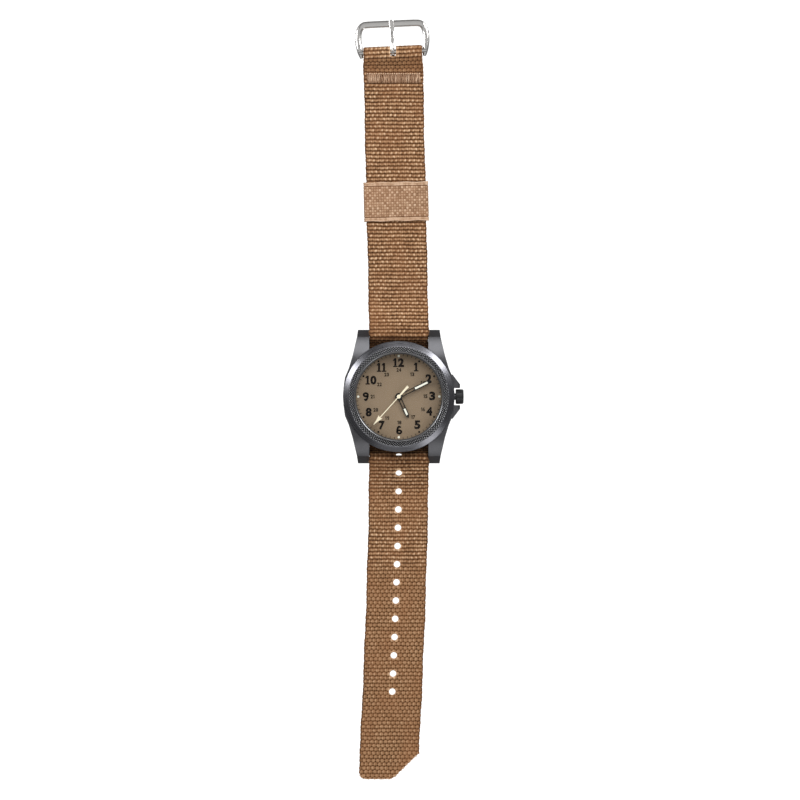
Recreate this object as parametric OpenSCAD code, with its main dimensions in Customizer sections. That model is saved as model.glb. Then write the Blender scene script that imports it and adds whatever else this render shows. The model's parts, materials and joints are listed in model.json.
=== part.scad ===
// Analogue wristwatch on a one-piece pull-through webbing strap, laid out flat.
// Millimetres. +Z is up, +Y points to 12 o'clock, +X to the crown.
// The hands turn about X = Y = 0, and the strap under the case back rests on Z = 0.

/* [Case] */
// Diameter of the bezel
bezel_d = 42; // [41:0.5:43]
// Height of the case back above the surface the watch lies on
case_z = 1.25; // [1.2:0.05:1.4]
// Length over the lugs
lug_to_lug = 50.4; // [50:0.2:52]
// Width over a pair of lugs
lug_span = 30.8; // [30:0.2:32]
// Clear width between a pair of lugs
lug_gap = 22.3; // [22.2:0.1:22.6]
// Height of the case rim that carries the bezel
rim_z = 9.1; // [9:0.1:9.3]

/* [Dial and hands] */
// Radius of the dial plate
dial_r = 17; // [16.8:0.1:17]
// Radius of the circle that the hour pips sit on
pip_circle_r = 15.3; // [14.8:0.1:15.6]
// Length of the hour hand from its axis
hour_len = 8.8; // [8:0.1:9.5]
// Length of the minute hand from its axis
minute_len = 13.6; // [12.5:0.1:14.5]
// Length of the second hand from its axis
second_len = 14.2; // [13:0.1:15]
// Hour shown
time_h = 5; // [0:1:11]
// Minute shown
time_m = 10; // [0:1:59]
// Second shown
time_s = 37; // [0:1:59]

/* [Crown] */
// Diameter of the crown
crown_d = 5.6; // [5.2:0.1:5.8]
// Length of the crown
crown_len = 3.1; // [2.8:0.1:3.3]
// Height of the winding stem
stem_z = 5.45; // [5.4:0.01:5.5]
// Number of flutes round the crown
crown_flutes = 26; // [20:1:30]

/* [Movement] */
// Diameter of the movement
movement_d = 26; // [26:0.1:26.1]
// Diameter of the battery
battery_d = 6.8; // [6.2:0.1:6.8]

/* [Spring bars] */
// Distance of each spring bar from the middle of the dial
bar_y = 23; // [22.9:0.05:23.2]
// Height of the spring bars
bar_z = 3.6; // [3.5:0.05:3.7]
// Diameter of the spring bar tubes
bar_d = 1.8; // [1.6:0.1:1.8]

/* [Strap] */
// Width of the webbing
strap_w = 22; // [21.5:0.1:22]
// Thickness of the webbing
strap_t = 1.2; // [1.1:0.05:1.2]
// Distance from the dial's middle to the tip of the tail
tail_end = 144.6; // [140:0.2:150]
// Distance between the adjustment holes
hole_pitch = 6.883; // [6.8:0.001:7]
// Diameter of the adjustment holes
hole_d = 2.4; // [2:0.1:2.6]
// Number of adjustment holes outside the lugs
hole_count = 13; // [10:1:13]

/* [Buckle] */
// Distance of the buckle bar from the dial's middle
buckle_y = 130.1; // [130:0.1:130.4]
// Diameter of the buckle bar
buckle_bar_d = 2; // [1.8:0.1:2]
// Width over the buckle frame
buckle_w = 28.3; // [28:0.1:29]
// Reach of the frame past the bar
buckle_reach = 12.4; // [12:0.1:13]
// Thickness of the frame
buckle_t = 2; // [1.8:0.1:2]
// Width of the tongue
tongue_w = 1.7; // [1.5:0.1:2]
// Turn of the buckle in the plane of the strap
buckle_skew = 2.5; // [0:0.5:3]

/* [Keeper] */
// Distance of the keeper's middle from the dial's middle
keeper_y = 73.65; // [72.5:0.05:74.5]
// Length of the keeper along the strap
keeper_len = 14.7; // [13:0.1:16]
// Width over the keeper
keeper_w = 24.5; // [24.4:0.1:25]

/* [Hidden] */
$fn = 64;
eps = 0.01;

// Case
bezel_r = bezel_d / 2;
case_r = bezel_r - 0.25;
bore_r = 17.2;
back_top_z = case_z + 1.15;
lug_end = lug_to_lug / 2;
crown_x = 21.4;
crown_seat_x = 20.9;
guard_y = crown_d / 2 + 0.4;
tube_r = 1.25;
neck_r = 18.2;
neck_h = 0.8;
pivot_hole_r = 0.46;
crystal_r = 16.1;
crystal_z = 10.3;
crystal_t = 1.9;

// Dial and hands: each layer sits on the one below with room to turn
dial_z = 7.1;
dial_t = 0.4;
hour_z = 8.05;
minute_z = 8.55;
second_z = 9.05;
hand_t = 0.2;
second_angle = time_s * 6;
minute_angle = (time_m + time_s / 60) * 6;
hour_angle = (time_h + time_m / 60 + time_s / 3600) * 30;

// Movement: modules and teeth of each meshing pair, with the arbors they give
plate_z = 5;
plate_top = 6.1;
bridge_z = 3.05;
bridge_t = 0.3;
movement_r = movement_d / 2;
arbor_r = 0.15;
pivot_r = arbor_r + 0.05;
seconds_arbor_r = 0.2;
cannon_r = 0.5;
hour_tube_r = 0.85;
third_teeth = 60;
seconds_pinion_teeth = 8;
centre_teeth = 64;
third_pinion_teeth = 8;
third_module = 0.09;
third_gap = third_module * (centre_teeth + third_pinion_teeth) / 2;
seconds_module = 2 * third_gap / (third_teeth + seconds_pinion_teeth);
seconds_teeth = 40;
step_pinion_teeth = 8;
step_module = 0.14;
step_gap = step_module * (seconds_teeth + step_pinion_teeth) / 2;
step_teeth = 42;
rotor_pinion_teeth = 7;
rotor_module = 0.1;
rotor_gap = rotor_module * (step_teeth + rotor_pinion_teeth) / 2;
cannon_teeth = 12;
minute_teeth = 36;
cannon_module = 0.16;
minute_gap = cannon_module * (cannon_teeth + minute_teeth) / 2;
minute_pinion_teeth = 10;
hour_teeth = 40;
hour_module = 2 * minute_gap / (minute_pinion_teeth + hour_teeth);
third_dir = 60;
step_dir = 150;
rotor_dir = 200;
minute_dir = -20;
third_at = polar(third_gap, third_dir);
step_at = polar(step_gap, step_dir);
rotor_at = step_at + polar(rotor_gap, rotor_dir);
minute_at = polar(minute_gap, minute_dir);
battery_at = [-4.6, -7.4];
coil_x = -9.2;
coil_z = 4;
pillars = [[8.6, 7.4], [-4.2, 9.8], [6, -2.2]];
lever_at = [10.6, 3.3];
lever_pin = [10.95, 0];
yoke_at = [8.6, -3.6];
clutch_x = 8;

// Spring bars
bar_r = bar_d / 2;
bar_half = lug_gap / 2 - 0.25;
bar_bore_r = 0.65;
plunger_r = 0.42;
plunger_reach = 0.85;

// Strap: the middle line passes under the case, over each spring bar, then down to the surface
wrap_r = bar_r + 0.05 + strap_t / 2;
rise_angle = 55;
fall_angle = 20;
rise_bend_r = 2.5;
fall_bend_r = 12;
hinge_play = 0.05;
first_hole = 28.8;
lug_hole_angle = 27;
tail_hinges = [for (k = [0 : 4]) [first_hole + hole_pitch * (1.5 + 3 * k), strap_t / 2]];
keeper_t = 0.55;
lift_z = keeper_t + 0.1 + strap_t / 2;
buckle_hinges = [
  [38.5, strap_t / 2], [51, (strap_t / 2 + lift_z) / 2], [63.5, lift_z], [84, lift_z], [101, lift_z]
];
strap_skew = 1.26;
skew_from = 28;
tail_drift = 3.5;
tail_drift_len = 105;

// Buckle: the fold of the strap rolls round the bar
buckle_bar_r = buckle_bar_d / 2;
fold_r = buckle_bar_r + 0.08;
fold_z = fold_r + strap_t;
buckle_x = -tan(strap_skew) * (buckle_y - skew_from);
flap_end = 118.3;
slot_w = 2.8;
frame_bar = 2.6;
frame_drop = asin((fold_z - buckle_t / 2) / (buckle_reach - frame_bar / 2));
stitch_len = 3.6;
stitch_t = 0.12;

function polar(r, a) = r * [cos(a), sin(a)];
function arc(c, r, a0, a1, n) = [for (i = [0 : n]) c + polar(r, a0 + (a1 - a0) * i / n)];
function unit(v) = v / norm(v);
function reversed(list) = [for (i = [len(list) - 1 : -1 : 0]) list[i]];
function heading(p, i) = unit(p[min(i + 1, len(p) - 1)] - p[max(i - 1, 0)]);
function beside(p, off) = [for (i = [0 : len(p) - 1]) let (d = heading(p, i)) p[i] + off * [-d[1], d[0]]];

// A strip of thickness t along the path p
module ribbon(p, t = strap_t) {
  polygon(concat(beside(p, -t / 2), reversed(beside(p, t / 2))));
}

// Extrudes an outline drawn in the Y-Z plane along X, about x = 0
module along_x(w) {
  rotate([90, 0, 90]) linear_extrude(w, center = true) children();
}

// A cylinder along X from x0 to x1 at the height z
module rod_x(r, x0, x1, y = 0, z = stem_z) {
  translate([x0, y, z]) rotate([0, 90, 0]) cylinder(r = r, h = x1 - x0);
}

// A flat bar of width w between two points of a plane
module bar_between(a, b, w) {
  d = b - a;
  translate(a) rotate(atan2(d[1], d[0])) translate([0, -w / 2]) square([norm(d), w]);
}

// ---------------------------------------------------------------- case

// Plan of one lug, with the flank that runs into the middle of the case
module lug_plan() {
  half = lug_span / 2;
  polygon([
    [10, 0], [case_r + 0.1, 0], [case_r + 0.1, 3.2], [20.3, 7.2], [18.8, 10.8], [17.4, 15.5],
    [half + 0.4, 22.4], [half, lug_end], [lug_gap / 2, lug_end], [lug_gap / 2, 10], [10, 10]
  ]);
}

// Side view of one lug: level by the bezel, rounded down, with a flat end facet
module lug_side() {
  arch_r = 18;
  arch_y = 13;
  top = rim_z - 0.05;
  intersection() {
    union() {
      square([arch_y, top]);
      translate([arch_y, top - arch_r]) circle(arch_r, $fn = 128);
    }
    polygon([
      [0, 4.6], [9, 4.4], [15, 3], [18.5, back_top_z], [21, 1.85], [24.4, 1.65], [lug_end, 2.3],
      [lug_end, 3.3], [22.4, 6.45], [22.4, top + 1], [0, top + 1]
    ]);
  }
}

module lug() {
  intersection() {
    linear_extrude(rim_z) lug_plan();
    along_x(2 * bezel_d) lug_side();
  }
}

// The horn beside the crown
module crown_guard() {
  intersection() {
    translate([0, 0, 3]) linear_extrude(rim_z - 3.5)
      polygon([[18, 8.6], [20.3, 8.3], [23.1, 4.6], [23.1, guard_y + 0.15], [22.8, guard_y], [18, guard_y]]);
    rotate([90, 0, 0]) linear_extrude(20, center = true)
      polygon([
        [17, 4.2], [20.5, 3], [22.6, 3.4], [23.2, 4.2],
        [23.2, 7.2], [22.4, 8.2], [20.6, 8.6], [17, 8.6]
      ]);
  }
}

module case_middle() {
  color("#46464a") difference() {
    union() {
      rotate_extrude($fn = 128) polygon([
        [bore_r, back_top_z], [18.6, back_top_z], [20.1, 3.9], [case_r, 5.2], [case_r, rim_z],
        [neck_r, rim_z], [neck_r, rim_z + neck_h], [bore_r, rim_z + neck_h]
      ]);
      difference() {
        for (sx = [0, 1], sy = [0, 1]) mirror([sx, 0, 0]) mirror([0, sy, 0]) lug();
        cylinder(r = bore_r, h = 2 * rim_z, $fn = 128);
      }
      for (sy = [0, 1]) mirror([0, sy, 0]) crown_guard();
    }
    rod_x(guard_y, crown_seat_x, bezel_r + 5);
    rod_x(tube_r, bore_r - 1, crown_seat_x + 1);
    for (sx = [0, 1], sy = [-1, 1]) mirror([sx, 0, 0])
      rod_x(pivot_hole_r, lug_gap / 2 - 1, lug_gap / 2 + 1.3, sy * bar_y, bar_z);
  }
}

module crown_tube() {
  color("#8a8a8e") difference() {
    rod_x(tube_r, bore_r, crown_x + 1.7);
    rod_x(0.58, bore_r - 1, crown_x + 2);
  }
}

module bezel() {
  color("#57585c") rotate_extrude($fn = 128) polygon([
    [neck_r + 0.05, rim_z + 0.05], [bezel_r, rim_z + 0.05], [bezel_r, rim_z + 0.7], [18.75, 11.2],
    [18.5, 11.2], [18.5, 11.45], [16.95, 12.3], [crystal_r + 0.35, 12.3], [crystal_r + 0.35, crystal_z],
    [bore_r, crystal_z], [bore_r, rim_z + neck_h + 0.05], [neck_r + 0.05, rim_z + neck_h + 0.05]
  ]);
}

module crystal() {
  chamfer = 0.3;
  color("#dfe8ea", 0.35) rotate_extrude($fn = 128) polygon([
    [0, crystal_z], [crystal_r, crystal_z], [crystal_r, crystal_z + crystal_t - chamfer],
    [crystal_r - chamfer, crystal_z + crystal_t], [0, crystal_z + crystal_t]
  ]);
}

module crystal_gasket() {
  color("#202022") rotate_extrude($fn = 128)
    translate([crystal_r + 0.02, crystal_z]) square([0.31, 1.3]);
}

module dial_flange() {
  color("#6b6152") rotate_extrude($fn = 128) polygon([
    [crystal_r, dial_z + dial_t], [bore_r - 0.1, dial_z + dial_t], [bore_r - 0.1, crystal_z],
    [crystal_r + 0.25, crystal_z]
  ]);
}

module case_back() {
  notches = 6;
  color("#77777b") difference() {
    union() {
      rotate_extrude($fn = 128) polygon([
        [0, case_z], [17.6, case_z], [18.3, case_z + 0.6], [18.3, back_top_z], [0, back_top_z]
      ]);
      difference() {
        cylinder(r = bore_r - 0.05, h = back_top_z + 0.8, $fn = 128);
        translate([0, 0, -1]) cylinder(r = bore_r - 1.2, h = 10, $fn = 128);
        translate([0, 0, -1]) cylinder(r = 30, h = 1 + back_top_z);
      }
    }
    for (k = [0 : notches - 1]) rotate(30 + k * 360 / notches)
      translate([16.6, -1.2, case_z - 1]) cube([3, 2.4, 1.5]);
    rotate_extrude($fn = 128) translate([bore_r + 0.1, back_top_z - 0.35]) square([0.7, 1]);
  }
}

module case_back_gasket() {
  color("#202022") rotate_extrude($fn = 128)
    translate([bore_r + 0.12, back_top_z - 0.34]) square([0.66, 0.33]);
}

// ---------------------------------------------------------------- dial and hands

module dial() {
  color("#7f705b") {
    difference() {
      translate([0, 0, dial_z]) cylinder(r = dial_r, h = dial_t, $fn = 128);
      translate([0, 0, dial_z - 1]) cylinder(r = 1.05, h = 3);
    }
    for (a = [115, 295]) translate([each polar(10.5, a), plate_top - 0.5])
      cylinder(r = 0.35, h = dial_z - plate_top + 0.5);
  }
}

module hour_pips() {
  color("#f2f0dc") for (k = [0 : 3]) rotate(90 * k)
    translate([0, pip_circle_r, dial_z + dial_t]) cylinder(r = 0.45, h = 0.15, $fn = 32);
}

// Outline of a hand: hub, straight bar and pointed tip, with its two windows
module hand_plan(len, w, hub_r, slot_y, lume_y) {
  tip = 1.1;
  difference() {
    union() {
      circle(hub_r);
      polygon([[-w / 2, 0], [w / 2, 0], [w / 2, len - tip], [0.12, len], [-0.12, len], [-w / 2, len - tip]]);
    }
    hand_window(w, slot_y);
    hand_window(w, lume_y);
  }
}

module hand_window(w, y) {
  translate([-w / 2 + 0.34, y[0]]) square([w - 0.68, y[1] - y[0]]);
}

hour_w = 1.4;
minute_w = 1.4;
hour_lume = [5, 7.6];
minute_lume = [6.8, 12.1];

module hour_hand() {
  color("#151414") rotate(-hour_angle) translate([0, 0, hour_z]) linear_extrude(hand_t) difference() {
    hand_plan(hour_len, hour_w, 1.35, [1.5, 4.6], hour_lume);
    circle(hour_tube_r);
  }
}

module hour_hand_lume() {
  color("#f3f4ea")
    rotate(-hour_angle) translate([0, 0, hour_z]) linear_extrude(hand_t)
      hand_window(hour_w, hour_lume);
}

module minute_hand() {
  color("#151414") rotate(-minute_angle) translate([0, 0, minute_z]) linear_extrude(hand_t) difference() {
    hand_plan(minute_len, minute_w, 1.15, [1.4, 6.4], minute_lume);
    circle(cannon_r);
  }
}

module minute_hand_lume() {
  color("#f3f4ea") rotate(-minute_angle) translate([0, 0, minute_z]) linear_extrude(hand_t)
    hand_window(minute_w, minute_lume);
}

module second_hand() {
  needle = 0.34;
  head_y = 10.2;
  head_w = 1.9;
  color("#efe6c9") rotate(-second_angle) translate([0, 0, second_z]) linear_extrude(hand_t - 0.05) union() {
    circle(0.75);
    translate([-needle / 2, 0]) square([needle, head_y + 1]);
    polygon([
      [-head_w / 2, head_y], [0, head_y + 0.5], [head_w / 2, head_y], [0.35, head_y + 2.2],
      [0.12, second_len], [-0.12, second_len], [-0.35, head_y + 2.2]
    ]);
    polygon([[0.3, 0], [-0.3, 0], [-0.45, -5.2], [0.45, -5.2]]);
  }
}

// ---------------------------------------------------------------- movement

// Outline of a toothed wheel with straight-sided teeth
module teeth(n, m, phase = 0) {
  rp = n * m / 2;
  step = 360 / n;
  polygon([
    for (k = [0 : n - 1], c = [[-0.3, -1.1], [-0.13, 0.9], [0.13, 0.9], [0.3, -1.1]])
      polar(rp + c[1] * m, phase + (k + c[0]) * step)
  ]);
}

// Turn that puts a wheel of n teeth in mesh with one of n0 teeth turned by phase0, in direction dir from it
function meshed(n, dir, n0, phase0) = dir + 180 - (0.5 - (dir - phase0) * n0 / 360) * 360 / n;

module gear(n, m, z, h, phase = 0) {
  translate([0, 0, z]) linear_extrude(h) teeth(n, m, phase);
}

third_pinion_phase = meshed(third_pinion_teeth, third_dir, centre_teeth, 0);
third_phase = meshed(third_teeth, third_dir, seconds_pinion_teeth, 0);
step_pinion_phase = meshed(step_pinion_teeth, step_dir, seconds_teeth, 0);
rotor_phase = meshed(rotor_pinion_teeth, rotor_dir, step_teeth, 0);
minute_phase = meshed(minute_teeth, minute_dir, cannon_teeth, 0);
hour_phase = meshed(hour_teeth, minute_dir + 180, minute_pinion_teeth, 0);

module seconds_wheel() {
  color("#c9a54a") {
    gear(seconds_teeth, step_module, 3.6, 0.2);
    gear(seconds_pinion_teeth, seconds_module, 3.8, 0.6);
    translate([0, 0, bridge_z + 0.05]) cylinder(r = seconds_arbor_r, h = second_z - bridge_z - 0.05);
  }
}

module third_wheel() {
  color("#c9a54a") translate(third_at) {
    gear(third_teeth, seconds_module, 4, 0.2, third_phase);
    gear(third_pinion_teeth, third_module, 4.2, 0.7, third_pinion_phase);
    translate([0, 0, bridge_z + 0.05]) cylinder(r = arbor_r, h = 2.3);
  }
}

module centre_wheel() {
  color("#c9a54a") difference() {
    union() {
      gear(centre_teeth, third_module, 4.6, 0.2);
      gear(cannon_teeth, cannon_module, 6.2, 0.3);
      translate([0, 0, 4.5]) cylinder(r = cannon_r, h = minute_z + hand_t - 4.5);
    }
    translate([0, 0, 4]) cylinder(r = seconds_arbor_r + 0.05, h = 8);
  }
}

module step_wheel() {
  color("#e8e4da") translate(step_at) {
    gear(step_pinion_teeth, step_module, 3.5, 0.75, step_pinion_phase);
    gear(step_teeth, rotor_module, 4.25, 0.15);
    translate([0, 0, bridge_z + 0.05]) cylinder(r = arbor_r, h = 2.3);
  }
}

module rotor() {
  color("#3b3b40") translate(rotor_at) {
    translate([0, 0, 3.65]) cylinder(r = 0.8, h = 0.4);
    gear(rotor_pinion_teeth, rotor_module, 4.05, 0.45, rotor_phase);
    translate([0, 0, bridge_z + 0.05]) cylinder(r = arbor_r, h = 2.3);
  }
}

module minute_wheel() {
  color("#c9a54a") translate(minute_at) difference() {
    union() {
      gear(minute_teeth, cannon_module, 6.2, 0.2, minute_phase);
      gear(minute_pinion_teeth, hour_module, 6.4, 0.45);
    }
    translate([0, 0, 6]) cylinder(r = 0.3, h = 1);
  }
}

module hour_wheel() {
  color("#c9a54a") difference() {
    union() {
      gear(hour_teeth, hour_module, 6.58, 0.22, hour_phase);
      translate([0, 0, 6.58]) cylinder(r = hour_tube_r, h = hour_z + hand_t - 6.58);
    }
    translate([0, 0, 6]) cylinder(r = cannon_r + 0.05, h = 4);
  }
}

core_w = 0.8;
stator_ends = [[coil_x, -2.4], [coil_x, 7]];

module stator() {
  color("#9b9ba2") translate([0, 0, 3.75]) linear_extrude(0.3) difference() {
    union() {
      translate(rotor_at) circle(1.6);
      for (e = stator_ends) bar_between(rotor_at, e, 1.4);
      for (e = stator_ends) translate(e) circle(0.9);
      bar_between(stator_ends[0], stator_ends[1], core_w);
    }
    translate(rotor_at) circle(1);
    translate(step_at) circle(1.1);
  }
}

module coil() {
  color("#b5642f") difference() {
    translate([coil_x, -0.3, coil_z]) rotate([-90, 0, 0]) cylinder(r = 0.95, h = 4.4);
    translate([coil_x - core_w / 2 - 0.02, -4, 3.73]) cube([core_w + 0.04, 12, 0.34]);
  }
}

// The board with its chip and the quartz crystal soldered to it
module circuit_board() {
  color("#2f6b46") {
    translate([0, 0, 3.5]) linear_extrude(0.2)
      polygon([[0.2, -3.6], [7.5, -3.5], [10.5, -6], [8.5, -9.3], [3, -11.8], [-0.2, -11.9]]);
    translate([1.4, -9.4, 3.69]) cube([2.2, 2.2, 0.5]);
  }
  color("#c7c9cc") translate([5, -6, 4.28]) rotate([0, 90, -40]) cylinder(r = 0.6, h = 4.8, center = true);
}

module battery() {
  color("#b9bbbf") translate([each battery_at, 3.15]) {
    cylinder(r = battery_d / 2, h = 2.2);
    translate([0, 0, 2.2]) cylinder(r = battery_d / 2 - 0.6, h = 0.3);
  }
}

module main_plate() {
  color("#a9aaae") difference() {
    union() {
      translate([0, 0, plate_z]) cylinder(r = movement_r, h = plate_top - plate_z, $fn = 96);
      for (p = pillars)
        translate([each p, bridge_z + bridge_t]) cylinder(r = 0.75, h = plate_top - bridge_z - bridge_t);
      translate([each minute_at, plate_z]) cylinder(r = 0.25, h = 1.95);
      translate([each lever_at, plate_z]) cylinder(r = 0.3, h = 1.4);
      translate([each yoke_at, plate_z]) cylinder(r = 0.3, h = 1.4);
    }
    translate([0, 0, plate_z - 1]) cylinder(r = cannon_r + 0.05, h = 3);
    for (p = [third_at, step_at, rotor_at]) translate([each p, plate_z - 1]) cylinder(r = pivot_r, h = 1.5);
    translate([each battery_at, plate_z - 1]) cylinder(r = battery_d / 2 + 0.1, h = 1.75);
    translate([7, -2.6, plate_z - 1]) cube([8, 5.2, 3]);
    rod_x(0.35, 6.2, 8);
    for (a = [115, 295]) translate([each polar(10.5, a), plate_top - 0.6]) cylinder(r = 0.4, h = 1);
    for (p = pillars) translate([each p, 0]) cylinder(r = 0.3, h = 4.6);
  }
}

module train_bridge() {
  color("#b3b4b8") difference() {
    translate([0, 0, bridge_z]) linear_extrude(bridge_t)
      offset(r = 1.1) polygon([pillars[0], pillars[1], [-6.1, 0.6], [-1, -2.6], pillars[2]]);
    for (p = [third_at, step_at, rotor_at]) translate([each p, 0]) cylinder(r = pivot_r, h = 5);
    cylinder(r = seconds_arbor_r + 0.05, h = 5);
    for (p = pillars) translate([each p, 0]) cylinder(r = 0.35, h = 5);
  }
}

module movement_screws() {
  color("#3d4f8a") for (p = pillars) translate([each p, bridge_z - 0.2]) difference() {
    union() {
      cylinder(r = 0.7, h = 0.2);
      cylinder(r = 0.29, h = 1.6);
    }
    translate([-1, -0.1, -1]) cube([2, 0.2, 1.1]);
  }
}

module movement_holder() {
  color("#e6e6e2") difference() {
    translate([0, 0, 3.3]) cylinder(r = bore_r - 0.1, h = dial_z - 3.35, $fn = 128);
    translate([0, 0, 3]) cylinder(r = movement_r + 0.1, h = 6, $fn = 96);
    rod_x(0.75, 10, 20);
  }
}

// ---------------------------------------------------------------- setting mechanism and crown

module stem() {
  color("#a0a1a6") difference() {
    union() {
      rod_x(0.3, 6.5, 7.7);
      rod_x(0.4, 7.6, 10.2);
      rod_x(0.5, 10.1, crown_x + 2.6);
    }
    difference() {
      rod_x(1, 10.6, 11.3);
      rod_x(0.3, 10, 12);
    }
  }
}

module setting_lever() {
  color("#8f9095") difference() {
    union() {
      translate([0, 0, 6.15]) linear_extrude(0.2) {
        bar_between(lever_at, lever_pin, 0.7);
        translate(lever_at) circle(0.65);
        translate(lever_pin) circle(0.4);
        bar_between(lever_at, [8.2, 4.6], 0.6);
      }
      translate([each lever_pin, 5.8]) cylinder(r = 0.18, h = 0.4);
    }
    translate([each lever_at, 6]) cylinder(r = 0.35, h = 1);
  }
}

module yoke() {
  tip = [clutch_x + 0.8, 0];
  color("#8f9095") difference() {
    union() {
      translate([0, 0, 6.35]) linear_extrude(0.15) {
        bar_between(yoke_at, tip, 0.6);
        translate(yoke_at) circle(0.65);
        translate(tip) circle(0.35);
      }
      translate([each tip, 6.15]) cylinder(r = 0.12, h = 0.3);
    }
    translate([each yoke_at, 6]) cylinder(r = 0.35, h = 1);
  }
}

module clutch_wheel() {
  color("#a0a1a6") difference() {
    rod_x(0.85, clutch_x, clutch_x + 1.6);
    rod_x(0.44, clutch_x - 1, clutch_x + 3);
    difference() {
      rod_x(1.2, clutch_x + 0.6, clutch_x + 1);
      rod_x(0.65, clutch_x, clutch_x + 2);
    }
  }
}

module crown() {
  r = crown_d / 2;
  color("#2c2d30") difference() {
    translate([crown_x, 0, stem_z]) rotate([0, 90, 0]) difference() {
      rotate_extrude() polygon([
        [0, 0], [r - 0.25, 0], [r, 0.25], [r, crown_len - 0.5], [r - 0.45, crown_len - 0.1], [0, crown_len]
      ]);
      for (k = [0 : crown_flutes - 1]) rotate(k * 360 / crown_flutes)
        translate([r + 0.08, 0, -1]) cylinder(r = 0.2, h = crown_len + 2, $fn = 16);
    }
    rod_x(1.9, crown_x - 1, crown_x + 1.9);
    rod_x(0.5, crown_x, crown_x + 2.62);
  }
}

module crown_gasket() {
  color("#202022") difference() {
    rod_x(1.86, crown_x + 0.15, crown_x + 0.7);
    rod_x(tube_r + 0.03, crown_x - 1, crown_x + 3);
  }
}

// ---------------------------------------------------------------- spring bars

module spring_bar_tubes() {
  color("#b8b9bc") for (sy = [-1, 1]) difference() {
    rod_x(bar_r, -bar_half, bar_half, sy * bar_y, bar_z);
    rod_x(bar_bore_r, -bar_half + 0.4, bar_half - 0.4, sy * bar_y, bar_z);
    rod_x(plunger_r + 0.04, -bar_half - 1, bar_half + 1, sy * bar_y, bar_z);
  }
}

// The coil spring in each tube, as its outer sleeve
module spring_bar_springs() {
  color("#d0d0d2") for (sy = [-1, 1]) difference() {
    rod_x(0.58, -7.4, 7.4, sy * bar_y, bar_z);
    rod_x(0.38, -8, 8, sy * bar_y, bar_z);
  }
}

module plunger(sx, sy) {
  color("#b8b9bc") mirror([sx < 0 ? 1 : 0, 0, 0]) {
    rod_x(plunger_r, bar_half - 2.2, lug_gap / 2 + plunger_reach, sy * bar_y, bar_z);
    rod_x(0.6, bar_half - 3.4, bar_half - 2.1, sy * bar_y, bar_z);
  }
}

module plunger_12_crown_side() { plunger(1, 1); }
module plunger_12_far_side() { plunger(-1, 1); }
module plunger_6_crown_side() { plunger(1, -1); }
module plunger_6_far_side() { plunger(-1, -1); }

// ---------------------------------------------------------------- strap

// Sideways place of the strap's middle line at the distance y from the dial
function buckle_side_x(y) = -tan(strap_skew) * max(y - skew_from, 0);
function tail_side_x(y) = -tail_drift * pow(max(y - skew_from, 0) / tail_drift_len, 1.5);

// Plans of the two sides, both drawn towards +Y
module buckle_side_plan() {
  ys = [0, skew_from, buckle_y + 10];
  polygon(concat(
    [for (y = ys) [buckle_side_x(y) - strap_w / 2, y]],
    [for (y = reversed(ys)) [buckle_side_x(y) + strap_w / 2, y]]
  ));
}

module tail_side_plan() {
  ys = [0, for (y = [skew_from : 8 : tail_end - 10]) y];
  tip_x = tail_side_x(tail_end);
  corner = 1.6;
  polygon(concat(
    [for (y = ys) [tail_side_x(y) + strap_w / 2, y]],
    [[tip_x + strap_w / 2, tail_end - 9.9], [tip_x + 1.2, tail_end - 0.4], [tip_x + 0.4, tail_end]],
    arc([tip_x - strap_w / 2 + corner, tail_end - corner], corner, 90, 180, 6),
    [for (y = reversed(ys)) [tail_side_x(y) - strap_w / 2, y]]
  ));
}

function wrap_point(a) = [bar_y, bar_z] + polar(wrap_r, a);

// From the middle of the case back to the top of the spring bar
function rise_path() =
  let (
    touch = wrap_point(90 + rise_angle),
    foot_y = touch[0] - (touch[1] - strap_t / 2) / tan(rise_angle) - rise_bend_r * tan(rise_angle / 2)
  )
  concat(
    arc([foot_y, strap_t / 2 + rise_bend_r], rise_bend_r, -90, rise_angle - 90, 6),
    arc([bar_y, bar_z], wrap_r, 90 + rise_angle, 90 - fall_angle, 9)
  );

// From the top of the spring bar down to the surface
function fall_path() =
  let (
    leave = wrap_point(90 - fall_angle),
    foot_y = leave[0] + (leave[1] - strap_t / 2) / tan(fall_angle) + fall_bend_r * tan(fall_angle / 2)
  )
  concat(
    [leave + polar(hinge_play, -fall_angle)],
    arc([foot_y, strap_t / 2 + fall_bend_r], fall_bend_r, -90 - fall_angle, -90, 5)
  );

// Knuckle of one strap piece round the hinge line of the next
module knuckle(h) {
  translate(h) circle(strap_t / 2 - eps);
}

module knuckle_seat(h) {
  translate(h) circle(strap_t / 2 + hinge_play);
}

// Side view of piece k of a strap side, where h lists its hinge lines beyond the spring bar
module strap_piece(h, k) {
  if (k == 1) {
    ribbon(concat(fall_path(), [h[0]]));
    knuckle(h[0]);
  } else {
    difference() {
      ribbon([h[k - 2], h[k - 1]]);
      knuckle_seat(h[k - 2]);
    }
    knuckle(h[k - 1]);
  }
}

module strap_centre() {
  color("#92704f") difference() {
    along_x(strap_w) ribbon(concat([for (p = reversed(rise_path())) [-p[0], p[1]]], rise_path()));
    translate([0, -bar_y, bar_z]) rotate([-lug_hole_angle, 0, 0]) cylinder(d = hole_d, h = 5);
  }
}

module buckle_side(k) {
  color("#92704f") intersection() {
    along_x(2 * strap_w) strap_piece(buckle_hinges, k);
    linear_extrude(20) buckle_side_plan();
  }
}

module strap_buckle_1() { buckle_side(1); }
module strap_buckle_2() { buckle_side(2); }
module strap_buckle_3() { buckle_side(3); }
module strap_buckle_4() { buckle_side(4); }
module strap_buckle_5() { buckle_side(5); }

// The middle line of the last piece, up over the flap and onto the roll round the buckle bar
fold_path = [
  buckle_hinges[4], [111, lift_z], [116.5, 1.5 * strap_t], [122, 1.5 * strap_t], [124.5, 2.15], [127, 3.2],
  [128.6, fold_z + 1.6], [buckle_y - 0.3, fold_z + fold_r + strap_t / 2]
];

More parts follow.
